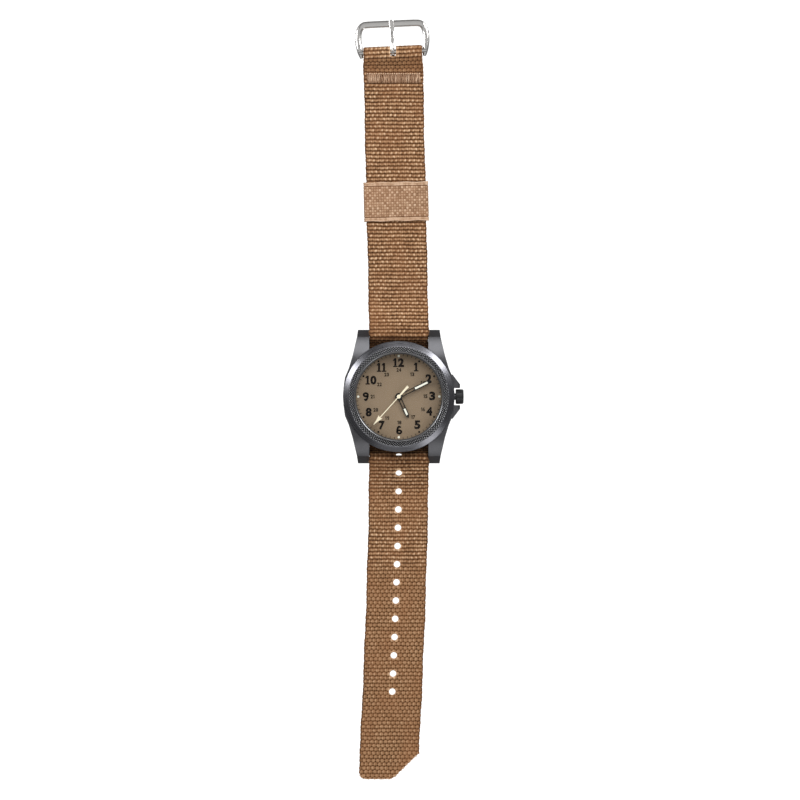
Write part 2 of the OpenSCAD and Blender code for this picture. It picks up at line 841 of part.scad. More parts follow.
module fold_side() {
  difference() {
    ribbon(fold_path);
    knuckle_seat(buckle_hinges[4]);
  }
  translate([flap_end, 0]) square([buckle_y - 0.3 - flap_end, strap_t]);
}

module strap_buckle_6() {
  roll_r = fold_r + strap_t - 0.03;
  color("#92704f") difference() {
    union() {
      intersection() {
        along_x(2 * strap_w) fold_side();
        linear_extrude(20) buckle_side_plan();
      }
      at_buckle() rod_x(roll_r, -strap_w / 2, strap_w / 2, 0, 0);
    }
    at_buckle() rod_x(fold_r, -strap_w, strap_w, 0, 0);
    at_buckle() translate([-slot_w / 2, -2.4, -10]) cube([slot_w, 12, 20]);
  }
}

module fold_stitching() {
  color("#9e7d64") translate([buckle_side_x(120), 0, 2 * strap_t])
    translate([-strap_w / 2 + 0.8, 118.2, 0]) cube([strap_w - 1.6, stitch_len, stitch_t]);
}

module tail_side(k) {
  color("#92704f") mirror([0, 1, 0]) difference() {
    intersection() {
      along_x(2 * strap_w) {
        if (k < 6) strap_piece(tail_hinges, k);
        if (k == 6) difference() {
          ribbon([tail_hinges[4], [tail_end + 1, strap_t / 2]]);
          knuckle_seat(tail_hinges[4]);
        }
      }
      linear_extrude(20) tail_side_plan();
    }
    for (i = [0 : hole_count - 1]) let (y = first_hole + hole_pitch * i)
      translate([tail_side_x(y), y, -1]) cylinder(d = hole_d, h = 10);
  }
}

module strap_tail_1() { tail_side(1); }
module strap_tail_2() { tail_side(2); }
module strap_tail_3() { tail_side(3); }
module strap_tail_4() { tail_side(4); }
module strap_tail_5() { tail_side(5); }
module strap_tail_6() { tail_side(6); }

// ---------------------------------------------------------------- keeper and buckle

module keeper() {
  inner_w = strap_w + 0.4;
  inner_h = strap_t + 0.2;
  color("#a9886a") translate([buckle_side_x(keeper_y), keeper_y, 0]) rotate(strap_skew) difference() {
    translate([-keeper_w / 2, -keeper_len / 2, 0]) cube([keeper_w, keeper_len, inner_h + 2 * keeper_t]);
    translate([-inner_w / 2, -keeper_len, keeper_t]) cube([inner_w, 2 * keeper_len, inner_h]);
  }
}

// Puts children, drawn about the bar with +Y along the frame, where the buckle lies
module at_buckle() {
  translate([buckle_x, buckle_y, fold_z]) rotate(buckle_skew) children();
}

module frame_outline() {
  half = buckle_w / 2;
  offset(r = 3.4) offset(delta = -3.4)
    polygon([
      [-half + 1.4, -2.1], [half - 1.4, -2.1], [half, 4],
      [half - 0.8, buckle_reach], [-half + 0.8, buckle_reach], [-half, 4]
    ]);
}

module buckle_frame() {
  inner = strap_w / 2 + 0.35;
  color("#b5b2af") at_buckle() difference() {
    rotate([-frame_drop, 0, 0]) translate([0, 0, -buckle_t / 2]) linear_extrude(buckle_t) difference() {
      frame_outline();
      offset(r = 1.5) offset(delta = -1.5)
        polygon([
          [-inner, -6], [inner, -6], [inner + 0.3, 4],
          [inner, buckle_reach - frame_bar], [-inner, buckle_reach - frame_bar], [-inner - 0.3, 4]
        ]);
    }
    rod_x(buckle_bar_r + 0.01, -inner - 1.4, inner + 1.4, 0, 0);
  }
}

module buckle_bar() {
  color("#b5b2af") at_buckle() rod_x(buckle_bar_r, -strap_w / 2 - 1.7, strap_w / 2 + 1.7, 0, 0);
}

// Side view of the tongue, about the bar
module tongue_side() {
  t = 0.7;
  loop_r = buckle_bar_r + 0.05;
  rest_z = buckle_t - fold_z + t / 2 + 0.03;
  difference() {
    union() {
      circle(loop_r + t);
      ribbon([
        [0.3, loop_r + t / 2 - 0.04], [3, loop_r + 0.15], [8.5, rest_z + 0.35],
        [buckle_reach - 2.7, rest_z + 0.1], [buckle_reach + 0.5, rest_z + 0.05]
      ], t);
    }
    circle(loop_r);
  }
}

module buckle_tongue() {
  color("#c4c2bf") at_buckle() along_x(tongue_w) tongue_side();
}

case_middle();
crown_tube();
bezel();
crystal();
crystal_gasket();
dial_flange();
dial();
hour_pips();
hour_hand();
hour_hand_lume();
minute_hand();
minute_hand_lume();
second_hand();
hour_wheel();
minute_wheel();
centre_wheel();
third_wheel();
seconds_wheel();
step_wheel();
rotor();
stator();
coil();
circuit_board();
battery();
main_plate();
train_bridge();
movement_screws();
movement_holder();
stem();
setting_lever();
yoke();
clutch_wheel();
crown();
crown_gasket();
case_back();
case_back_gasket();
spring_bar_tubes();
spring_bar_springs();
plunger_12_crown_side();
plunger_12_far_side();
plunger_6_crown_side();
plunger_6_far_side();
strap_centre();
strap_buckle_1();
strap_buckle_2();
strap_buckle_3();
strap_buckle_4();
strap_buckle_5();
strap_buckle_6();
strap_tail_1();
strap_tail_2();
strap_tail_3();
strap_tail_4();
strap_tail_5();
strap_tail_6();
fold_stitching();
keeper();
buckle_frame();
buckle_bar();
buckle_tongue();
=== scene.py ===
import json
import math
import bpy
import numpy as np
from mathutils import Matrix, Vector


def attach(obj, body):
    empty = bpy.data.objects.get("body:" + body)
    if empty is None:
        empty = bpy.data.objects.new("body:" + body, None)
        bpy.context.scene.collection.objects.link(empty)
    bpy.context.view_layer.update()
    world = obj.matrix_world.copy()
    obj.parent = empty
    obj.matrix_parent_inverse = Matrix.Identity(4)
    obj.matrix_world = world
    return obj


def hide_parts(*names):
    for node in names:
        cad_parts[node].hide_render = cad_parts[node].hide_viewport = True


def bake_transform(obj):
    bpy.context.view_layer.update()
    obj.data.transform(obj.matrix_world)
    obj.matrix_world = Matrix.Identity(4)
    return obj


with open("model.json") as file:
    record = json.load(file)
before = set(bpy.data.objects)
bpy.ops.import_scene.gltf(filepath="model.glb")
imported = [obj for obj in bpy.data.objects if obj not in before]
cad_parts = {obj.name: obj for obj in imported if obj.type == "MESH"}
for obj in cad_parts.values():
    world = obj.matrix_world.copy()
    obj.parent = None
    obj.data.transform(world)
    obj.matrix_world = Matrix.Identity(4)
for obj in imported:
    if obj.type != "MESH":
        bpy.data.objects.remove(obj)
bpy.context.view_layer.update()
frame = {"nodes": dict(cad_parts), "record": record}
MM = 0.001
RNG = np.random.default_rng(7)
scene = bpy.context.scene
scene.view_settings.view_transform = "Standard"


# --- nodes
class Nodes:
    """Short ways to add to a node tree."""

    def __init__(self, tree):
        self.nt = tree

    def feed(self, socket, v):
        """Links a node's output to the socket, or sets its value; a colour may be three numbers."""
        if isinstance(v, bpy.types.NodeSocket):
            self.nt.links.new(v, socket)
        else:
            socket.default_value = (*v, 1) if socket.type == "RGBA" else v

    def node(self, kind, inputs=(), **props):
        n = self.nt.nodes.new(kind)
        for k, v in props.items():
            setattr(n, k, v)
        for k, v in dict(inputs).items():
            self.feed(n.inputs[k], v)
        return n

    def m(self, op, a, b=0.0, clamp=False):
        return self.node("ShaderNodeMath", {0: a, 1: b}, operation=op, use_clamp=clamp).outputs[0]

    def coords(self):
        return self.node("ShaderNodeTexCoord").outputs["Object"]

    def scaled(self, vec, scale):
        return self.node("ShaderNodeMapping", {"Vector": vec, "Scale": scale}).outputs[0]

    def noise(self, scale, detail=2.0, rough=0.5, vec=None):
        inputs = {"Vector": vec or self.coords(), "Scale": scale, "Detail": detail, "Roughness": rough}
        return self.node("ShaderNodeTexNoise", inputs).outputs["Fac"]

    def attr(self, name):
        return self.node("ShaderNodeAttribute", attribute_name=name).outputs["Fac"]

    def ramp(self, fac, stops):
        n = self.node("ShaderNodeValToRGB", {0: fac})
        elements = n.color_ramp.elements
        while len(elements) < len(stops):
            elements.new(0.5)
        for el, (pos, colour) in zip(elements, stops):
            el.position = pos
            el.color = (*colour, 1)
        return n.outputs[0]

    def mix(self, fac, a, b):
        return self.node("ShaderNodeMix", {0: fac, 6: a, 7: b}, data_type="RGBA").outputs[2]

    def span(self, fac, low, high, lo_in=0.0, hi_in=1.0):
        """fac from lo_in to hi_in becomes low to high, and stays within them."""
        inputs = {"Value": fac, "From Min": lo_in, "From Max": hi_in, "To Min": low, "To Max": high}
        return self.node("ShaderNodeMapRange", inputs).outputs[0]

    def tint(self, base, pattern, amount, low, high, colour):
        """base, and up to this amount of colour where the pattern runs from low to high."""
        return self.mix(self.span(pattern, 0, amount, low, high), base, colour)

    def bump(self, height, strength=0.3, distance=0.0001, normal=None):
        inputs = {"Height": height, "Strength": strength, "Distance": distance}
        if normal is not None:
            inputs["Normal"] = normal
        return self.node("ShaderNodeBump", inputs).outputs[0]

    def rounded(self, radius):
        return self.node("ShaderNodeBevel", {"Radius": radius}, samples=4).outputs[0]

    def polar(self):
        """Coordinates that run round the dial's axis: (radius, angle, height)."""
        x, y, z = self.node("ShaderNodeSeparateXYZ", {0: self.coords()}).outputs
        r = self.m("SQRT", self.m("ADD", self.m("MULTIPLY", x, x), self.m("MULTIPLY", y, y)))
        a = self.m("MULTIPLY", self.m("ARCTAN2", y, x), 0.02)
        return self.node("ShaderNodeCombineXYZ", {0: r, 1: a, 2: z}).outputs[0]


# --- camera and light
VIEW_WIDTH = 0.302
CAM_HEIGHT = 2.6
cam = bpy.data.objects.new("camera", bpy.data.cameras.new("camera"))
scene.collection.objects.link(cam)
cam.location = (0.00045, -0.00128, CAM_HEIGHT)
cam.data.lens = cam.data.sensor_width * (CAM_HEIGHT - 0.002) / VIEW_WIDTH
cam.data.clip_start = 0.05
cam.data.clip_end = 20
scene.camera = cam


def area_light(name, azimuth, elevation, distance, size, power):
    """A lamp that faces the middle."""
    data = bpy.data.lights.new(name, "AREA")
    data.shape = "RECTANGLE"
    data.size, data.size_y = size
    data.energy = power
    obj = bpy.data.objects.new(name, data)
    scene.collection.objects.link(obj)
    a, e = math.radians(azimuth), math.radians(elevation)
    obj.location = Vector((math.sin(a) * math.cos(e), math.cos(a) * math.cos(e), math.sin(e))) * distance
    obj.rotation_euler = (-obj.location).to_track_quat("-Z", "Y").to_euler()
    return obj


def link_light(light, objs, state):
    """Lights only these objects (INCLUDE), or all but these (EXCLUDE)."""
    col = bpy.data.collections.new(light.name + "_links")
    for o in objs:
        col.objects.link(o)
    for entry in col.collection_objects:
        entry.light_linking.link_state = state
    light.light_linking.receiver_collection = col
    return col


# azimuth is clockwise from 12 o'clock
strips = [area_light("strip_upper_left", 297, 27, 0.9, (0.28, 0.34), 3.4),
          area_light("strip_upper_right", 48, 27, 0.9, (0.30, 0.34), 3.4),
          area_light("strip_lower_right", 142, 27, 0.9, (0.34, 0.30), 0.9)]
key_top = area_light("key_top", 18, 52, 1.3, (1.3, 0.9), 11.0)
fill = area_light("fill_bottom", 174, 46, 1.2, (1.1, 0.7), 3.0)

world = bpy.data.worlds.new("studio")
scene.world = world
world.use_nodes = True
sky = Nodes(world.node_tree)
direction = sky.node("ShaderNodeTexCoord").outputs["Generated"]
# from straight down (0) to straight up (1)
height = sky.span(sky.node("ShaderNodeSeparateXYZ", {0: direction}).outputs["Z"], 0, 1, -1, 1)
# the backdrop is white to the eye; what metal and cloth receive has a dark band at the horizon
greys = [(0.0, 0.50), (0.42, 0.50), (0.475, 0.06), (0.56, 0.06),
         (0.62, 0.17), (0.90, 0.15), (0.955, 0.42), (1.0, 0.48)]
received = sky.ramp(height, [(pos, (v, v, v)) for pos, v in greys])
seen = sky.node("ShaderNodeLightPath").outputs["Is Camera Ray"]
sky.feed(sky.nt.nodes["Background"].inputs[0], sky.mix(seen, received, (1, 1, 1)))


# --- material helpers
class Shader(Nodes):
    """Builds one node material round a Principled BSDF."""

    def __init__(self, name, rough=0.5, metal=0.0, **sockets):
        self.mat = bpy.data.materials.new(name)
        self.mat.use_nodes = True
        super().__init__(self.mat.node_tree)
        self.bsdf = self.nt.nodes["Principled BSDF"]
        self.set("Roughness", rough)
        self.set("Metallic", metal)
        for key, v in sockets.items():
            self.set(key.replace("_", " "), v)

    def set(self, socket, v):
        self.feed(self.bsdf.inputs[socket], v)

    def finished(self, colour, rough, normal):
        for socket, v in (("Base Color", colour), ("Roughness", rough), ("Normal", normal)):
            if v is not None:
                self.set(socket, v)
        return self.mat


def brushed(name, colour, rough=0.32, scale=(1, 1, 1), polar=False, edge=None):
    """Brushed metal: lines drawn out along one way, faint clouding, softened edges."""
    wear, spread = 0.25, 0.08
    s = Shader(name, rough, 1.0)
    vec = s.polar() if polar else s.coords()
    lines = s.noise(9000, 3, 0.6, s.scaled(vec, scale))
    cloud = s.noise(260, 3, 0.6, vec)
    fine = s.noise(5000)
    tint = s.tint(colour, lines, 0.22, 0.3, 0.7, tuple(min(1, c * 1.5) for c in colour))
    tint = s.tint(tint, cloud, wear, 0.35, 0.75, tuple(c * 0.62 for c in colour))
    along = s.span(lines, rough - spread, rough + spread, 0.3, 0.7)
    return s.finished(tint, s.m("ADD", along, s.span(fine, -0.03, 0.03)),
                      s.bump(lines, 0.10, 0.00002, s.rounded(edge) if edge else None))


def plain(name, colour, rough, metal=0.0, grain=0.12, bump=0.15, scale=2500, **sockets):
    """A painted or moulded surface with a fine grain."""
    s = Shader(name, rough, metal, **sockets)
    fine = s.noise(scale, 3, 0.6)
    cloud = s.noise(scale / 12)
    c = s.tint(colour, fine, grain, 0.3, 0.7, tuple(v * 0.55 for v in colour))
    c = s.tint(c, cloud, grain, 0.35, 0.75, tuple(min(1, v * 1.35) for v in colour))
    return s.finished(c, s.span(fine, rough - 0.06, rough + 0.08, 0.3, 0.7), s.bump(fine, bump, 0.00003))


def woven(name, dark, mid, light, top, rough=0.78):
    """Webbing: colour follows the height of each yarn in the mesh, as painted shade that darkens the lower
    yarn in the gaps, with filaments drawn along it.
    """
    s = Shader(name, rough, Sheen_Weight=0.02, Sheen_Roughness=0.45, Specular_IOR_Level=0.16)
    lift, tone = s.attr("lift"), s.attr("tone")
    uv = s.node("ShaderNodeUVMap", uv_map="strap").outputs[0]
    strands = s.noise(1.0, 2, 0.6, s.scaled(uv, (8.5, 1.1, 1)))
    fuzz = s.noise(1.0, 3, 0.6, s.scaled(uv, (2.6, 2.2, 1)))
    level = s.m("ADD", lift, s.m("MULTIPLY", s.m("SUBTRACT", strands, 0.5), 0.42))
    level = s.m("ADD", level, s.m("MULTIPLY", s.m("SUBTRACT", fuzz, 0.5), 0.20))
    level = s.m("ADD", level, s.m("MULTIPLY", tone, 0.16), clamp=True)
    between = tuple((a + b) / 2 for a, b in zip(dark, mid))
    # painted shade: the ramp runs from the dark of the gaps between ribs up to the light of the crowns
    c = s.ramp(level, [(0.0, dark), (0.34, between), (0.62, mid), (0.86, light), (1.0, top)])
    patch = s.noise(1.0, 2, 0.5, s.scaled(uv, (0.09, 0.05, 1)))
    c = s.tint(c, patch, 0.35, 0.35, 0.7, tuple(v * w for v, w in zip(mid, (1.12, 0.92, 0.86))))
    return s.finished(c, None, s.bump(strands, 0.35, 0.00006))


# --- mesh helpers
def new_mesh(name, verts, faces, mat, smooth=True):
    me = bpy.data.meshes.new(name)
    me.from_pydata([tuple(v) for v in verts], [], [tuple(int(i) for i in f) for f in faces])
    me.update()
    if smooth:
        me.polygons.foreach_set("use_smooth", [True] * len(me.polygons))
    obj = bpy.data.objects.new(name, me)
    scene.collection.objects.link(obj)
    me.materials.append(mat)
    return obj


def add_attr(obj, name, values):
    a = obj.data.attributes.new(name, "FLOAT", "POINT")
    a.data.foreach_set("value", np.asarray(values, np.float32))


def add_cloth(obj, lift, tone, uv):
    """What woven() reads: each vertex's height, which woven() paints as shade, and tone, and its place across
    and along the cloth.
    """
    add_attr(obj, "lift", lift)
    add_attr(obj, "tone", tone)
    layer = obj.data.uv_layers.new(name="strap")
    loops = np.zeros(len(obj.data.loops), np.int32)
    obj.data.loops.foreach_get("vertex_index", loops)
    layer.data.foreach_set("uv", np.asarray(uv, np.float32)[loops].ravel())


def smoothstep(x, a, b):
    t = np.clip((np.asarray(x, float) - a) / (b - a), 0, 1)
    return t * t * (3 - 2 * t)


def hashed(i, j, seed=0):
    """A repeatable number from 0 to 1 for each pair of whole numbers."""
    h = np.sin(np.asarray(i) * 127.1 + np.asarray(j) * 311.7 + seed * 74.7) * 43758.5453
    return h - np.floor(h)


def directions(points):
    """The unit direction of a line at each of its points."""
    d = np.gradient(points, axis=0)
    return d / np.linalg.norm(d, axis=1)[:, None]


def turned(x, y, angle):
    """x and y turned anticlockwise about the origin."""
    c, s = math.cos(angle), math.sin(angle)
    return c * x - s * y, s * x + c * y


def around(sides):
    """Cosine and sine of evenly spaced angles, as two rows."""
    ang = np.arange(sides) * 2 * np.pi / sides
    return np.cos(ang), np.sin(ang)


def skin(n, sides, reverse=False):
    """Faces of a closed tube of n rings, ends included; reverse is for rings that run the other way round."""
    faces = []
    for i in range(n - 1):
        for k in range(sides):
            a, b = i * sides + k, i * sides + (k + 1) % sides
            faces.append((a, a + sides, b + sides, b) if reverse else (a, b, b + sides, a + sides))
    ends = [tuple(range(sides))[::-1], tuple((n - 1) * sides + k for k in range(sides))]
    return faces + [end[::-1] if reverse else end for end in ends]


def tube(points, radii, sides, squash):
    """Vertices and faces of a tube through points, in metres; squash flattens it along Z."""
    p = np.asarray(points, float)
    d = directions(p)
    side = np.cross(d, (0, 0, 1.0))
    weak = np.linalg.norm(side, axis=1) < 1e-6
    side[weak] = (1.0, 0, 0)
    side /= np.linalg.norm(side, axis=1)[:, None]
    nor = np.cross(side, d)
    c, s = around(sides)
    section = c[None, :, None] * side[:, None] + squash * s[None, :, None] * nor[:, None]
    return (p[:, None] + radii[:, None, None] * section).reshape(-1, 3), skin(len(p), sides)


def merged(parts):
    """Joins (verts, faces) pairs."""
    verts, faces, base = [], [], 0
    for v, f in parts:
        verts.append(np.asarray(v, float))
        faces += [tuple(i + base for i in face) for face in f]
        base += len(v)
    return np.concatenate(verts), faces


# --- strap, as in the CAD source, in millimetres; a path's Y is the distance from the middle of the case
STRAP_W = 22.0
HALF_W = STRAP_W / 2
STRAP_T = 1.2
RIB = 1.42
YARNS = 26
YARN = STRAP_W / YARNS
BAR = np.array([23.0, 3.6])
WRAP_R = 0.9 + 0.05 + STRAP_T / 2
# slope of the strap beside the bar, outside and under the case, in degrees, and radius of the bend below
FALL, FALL_R = 20.0, 12.0
RISE, RISE_R = 55.0, 2.5
BAR_TOP = 110
STRAIGHT = 28
HOLES = 13
HOLE_R = 1.2
FIRST_HOLE = 28.8
HOLE_PITCH = 6.883
BUCKLE = np.array([130.1, 2.28])
FOLD_MID = 1.68
SKEW = math.radians(2.5)
TILT = math.radians(1.26)
STRAP_SKEW = math.tan(TILT)


def lengths(p):
    """Distance along a line at each of its points."""
    return np.r_[0, np.cumsum(np.linalg.norm(np.diff(p, axis=0), axis=1))]


def arc(c, r, a0, a1, n):
    a = np.radians(np.linspace(a0, a1, n))
    return [np.array([c[0] + r * math.cos(x), c[1] + r * math.sin(x)]) for x in a]


class Path:
    """A line in the Y-Z plane, resampled evenly and eased at its corners."""

    def __init__(self, points, ease):
        p = np.array(points, float)
        p = p[np.r_[True, np.linalg.norm(np.diff(p, axis=0), axis=1) > 1e-6]]
        s = lengths(p)
        step = 0.1
        t = np.arange(0, s[-1], step)
        q = np.stack([np.interp(t, s, p[:, i]) for i in (0, 1)], 1)
        half = int(ease / step)
        k = np.hanning(2 * half + 1)
        k /= k.sum()
        padded = np.concatenate([2 * q[0] - q[half:0:-1], q, 2 * q[-1] - q[-2:-half - 2:-1]])
        self.p = np.stack([np.convolve(padded[:, i], k, "valid") for i in (0, 1)], 1)
        self.s = lengths(self.p)
        self.d = directions(self.p)

    def at(self, s):
        """The point at distance s, and the normal there."""
        y, z, dy, dz = (np.interp(s, self.s, c) for c in (*self.p.T, *self.d.T))
        n = np.hypot(dy, dz)
        return y, z, -dz / n, dy / n

    def s_at(self, y):
        """Distance along the line where it first reaches y."""
        return float(self.s[np.argmax(self.p[:, 0] >= y)])


def foot(slope, r, way):
    """Middle of the bend where the slope from the bar turns level; way is 1 outwards, -1 inwards."""
    a, slope = math.radians(90 - way * slope), math.radians(slope)
    y, z = BAR + WRAP_R * np.array([math.cos(a), math.sin(a)])
    return y + way * ((z - STRAP_T / 2) / math.tan(slope) + r * math.tan(slope / 2)), STRAP_T / 2 + r


fall = (arc(BAR, WRAP_R, BAR_TOP, 90 - FALL, 12)
        + arc(foot(FALL, FALL_R, 1), FALL_R, -90 - FALL, -90, 8))
rise = (arc(foot(RISE, RISE_R, -1), RISE_R, -90, RISE - 90, 10)
        + arc(BAR, WRAP_R, 90 + RISE, BAR_TOP, 10))

LIFT = 1.25
BUCKLE_HINGES = [23.0, 38.5, 51.0, 63.5, 84.0, 101.0]
TAIL_HINGES = [23.0] + [FIRST_HOLE + HOLE_PITCH * (1.5 + 3 * k) for k in range(5)]
TAIL_END = 144.6
to_fold = [(38.5, 0.6), (51, 0.925), (63.5, LIFT), (84, LIFT), (111, LIFT)]
over_fold = [(116.5, 1.8), (122, 1.8), (124.5, 2.15), (127, 3.2), (128.6, 3.85)]
buckle_path = Path(fall + to_fold + over_fold + arc(BUCKLE, FOLD_MID, 92, -88, 24) + [(118.3, 0.6)], 0.5)
tail_path = Path(fall + [(TAIL_END + 1.5, 0.6)], 0.4)
centre_path = Path([(-y, z) for y, z in reversed(rise)] + rise, 0.3)
centre_path.s *= round(centre_path.s[-1] / RIB) * RIB / centre_path.s[-1]


def buckle_side_x(y):
    return -STRAP_SKEW * np.maximum(y - STRAIGHT, 0)


def tail_side_x(y):
    return -3.5 * (np.maximum(y - STRAIGHT, 0) / 105) ** 1.5


BUCKLE_X = buckle_side_x(BUCKLE[0])
# the lowest point between ribs, below the crowns
DEEP = 0.36


def weave(u, s, ribbed):
    """Height below the crowns, and a tone for each yarn, of the woven face at u across and s along."""
    # the yarns wander a little, so that no two rows are alike
    s = s + 0.035 * np.sin(u / 0.9 + 0.6 * s) + 0.05 * np.sin(u * 0.37 - 0.23 * s)
    across = (u + HALF_W) / YARN
    m = np.floor(across)
    b = 2 * (across - m) - 1
    g = s / RIB + np.where(m % 2 == 0, 0.06, -0.06) * b
    j = np.floor(g)
    t = 2 * (g - j) - 1
    rib = np.clip(np.cos(np.pi * t / 2), 0, 1) ** 0.8
    col = np.clip(1 - np.abs(b) ** 2.6, 0, 1) ** 0.6
    over = ((m + j) % 2 == 0).astype(float)
    edge = 1 - np.abs(np.sin(np.pi * across / 2))
    pit = 1 - np.abs(np.sin(np.pi * (across + j % 2) / 2))
    notch = edge ** 1.5 * np.clip(1 - rib, 0, 1) * np.where(t > 0, 1.0, 0.35)
    deep = DEEP * (1 - rib) + 0.07 * (1 - col) + 0.07 * (1 - over) * rib + 0.16 * notch
    flat = 0.02 * (1 - rib) + 0.48 * pit ** 1.4 * (1 - rib) ** 0.45 + 0.04 * (1 - col) + 0.03 * (1 - over)
    depth = ribbed * deep + (1 - ribbed) * flat
    rnd = hashed(m, j)
    depth = depth + 0.025 * (rnd - 0.5) * rib
    return depth, (2 * rnd - 1) * (0.5 + 0.5 * ribbed)


class Cut:
    """A slot with round ends (a hole if a equals b) at u0 across, from a to b along."""

    def __init__(self, u0, a, b, r):
        self.u0, self.a, self.b, self.r = u0, a, b, r

    def dist(self, u, s):
        """How far a point is outside the cut; what lies inside is gone."""
        c = np.clip(s, self.a, self.b)
        return np.hypot(u - self.u0, s - c) - self.r

    def onto(self, u, s):
        """The nearest point of the cut's edge."""
        c = np.clip(s, self.a, self.b)
        du, ds = u - self.u0, s - c
        n = np.maximum(np.hypot(du, ds), 1e-6)
        return self.u0 + du / n * self.r, c + ds / n * self.r


class EndCut:
    """The cut end of the tail: square on one side, slanting back on the other."""

    def __init__(self, end):
        self.end = end

    def limit(self, u):
        corner = 2.6
        slant = self.end - 1.03 * np.logaddexp(0, 2.2 * (u - 1.6)) / 2.2
        near = np.clip(corner - (u + HALF_W), 0, corner)
        rounding = corner - np.sqrt(np.maximum(corner ** 2 - near ** 2, 0))
        rag = 0.12 * np.sin(u * 4.1) * np.sin(u * 1.7 + 1) + 0.06 * np.sin(u * 11)
        return slant - rounding - 0.12 + rag

    def dist(self, u, s):
        return self.limit(u) - s

    def onto(self, u, _):
        return u, self.limit(u)


# where rows of vertices lie in each rib, and columns in each yarn; FAR is out of reach of any cut's edge
FRACTIONS = np.array([0, 0.1, 0.28, 0.5, 0.72, 0.9])
FAR = 9.0
U_STEPS = np.append([k + f for k in range(YARNS) for f in (0.0, 0.22, 0.5, 0.78)], YARNS) * YARN - HALF_W


def touched(quads):
    """The grid points at the corners of the marked quads."""
    p = np.pad(quads, 1)
    return p[1:, 1:] | p[1:, :-1] | p[:-1, 1:] | p[:-1, :-1]


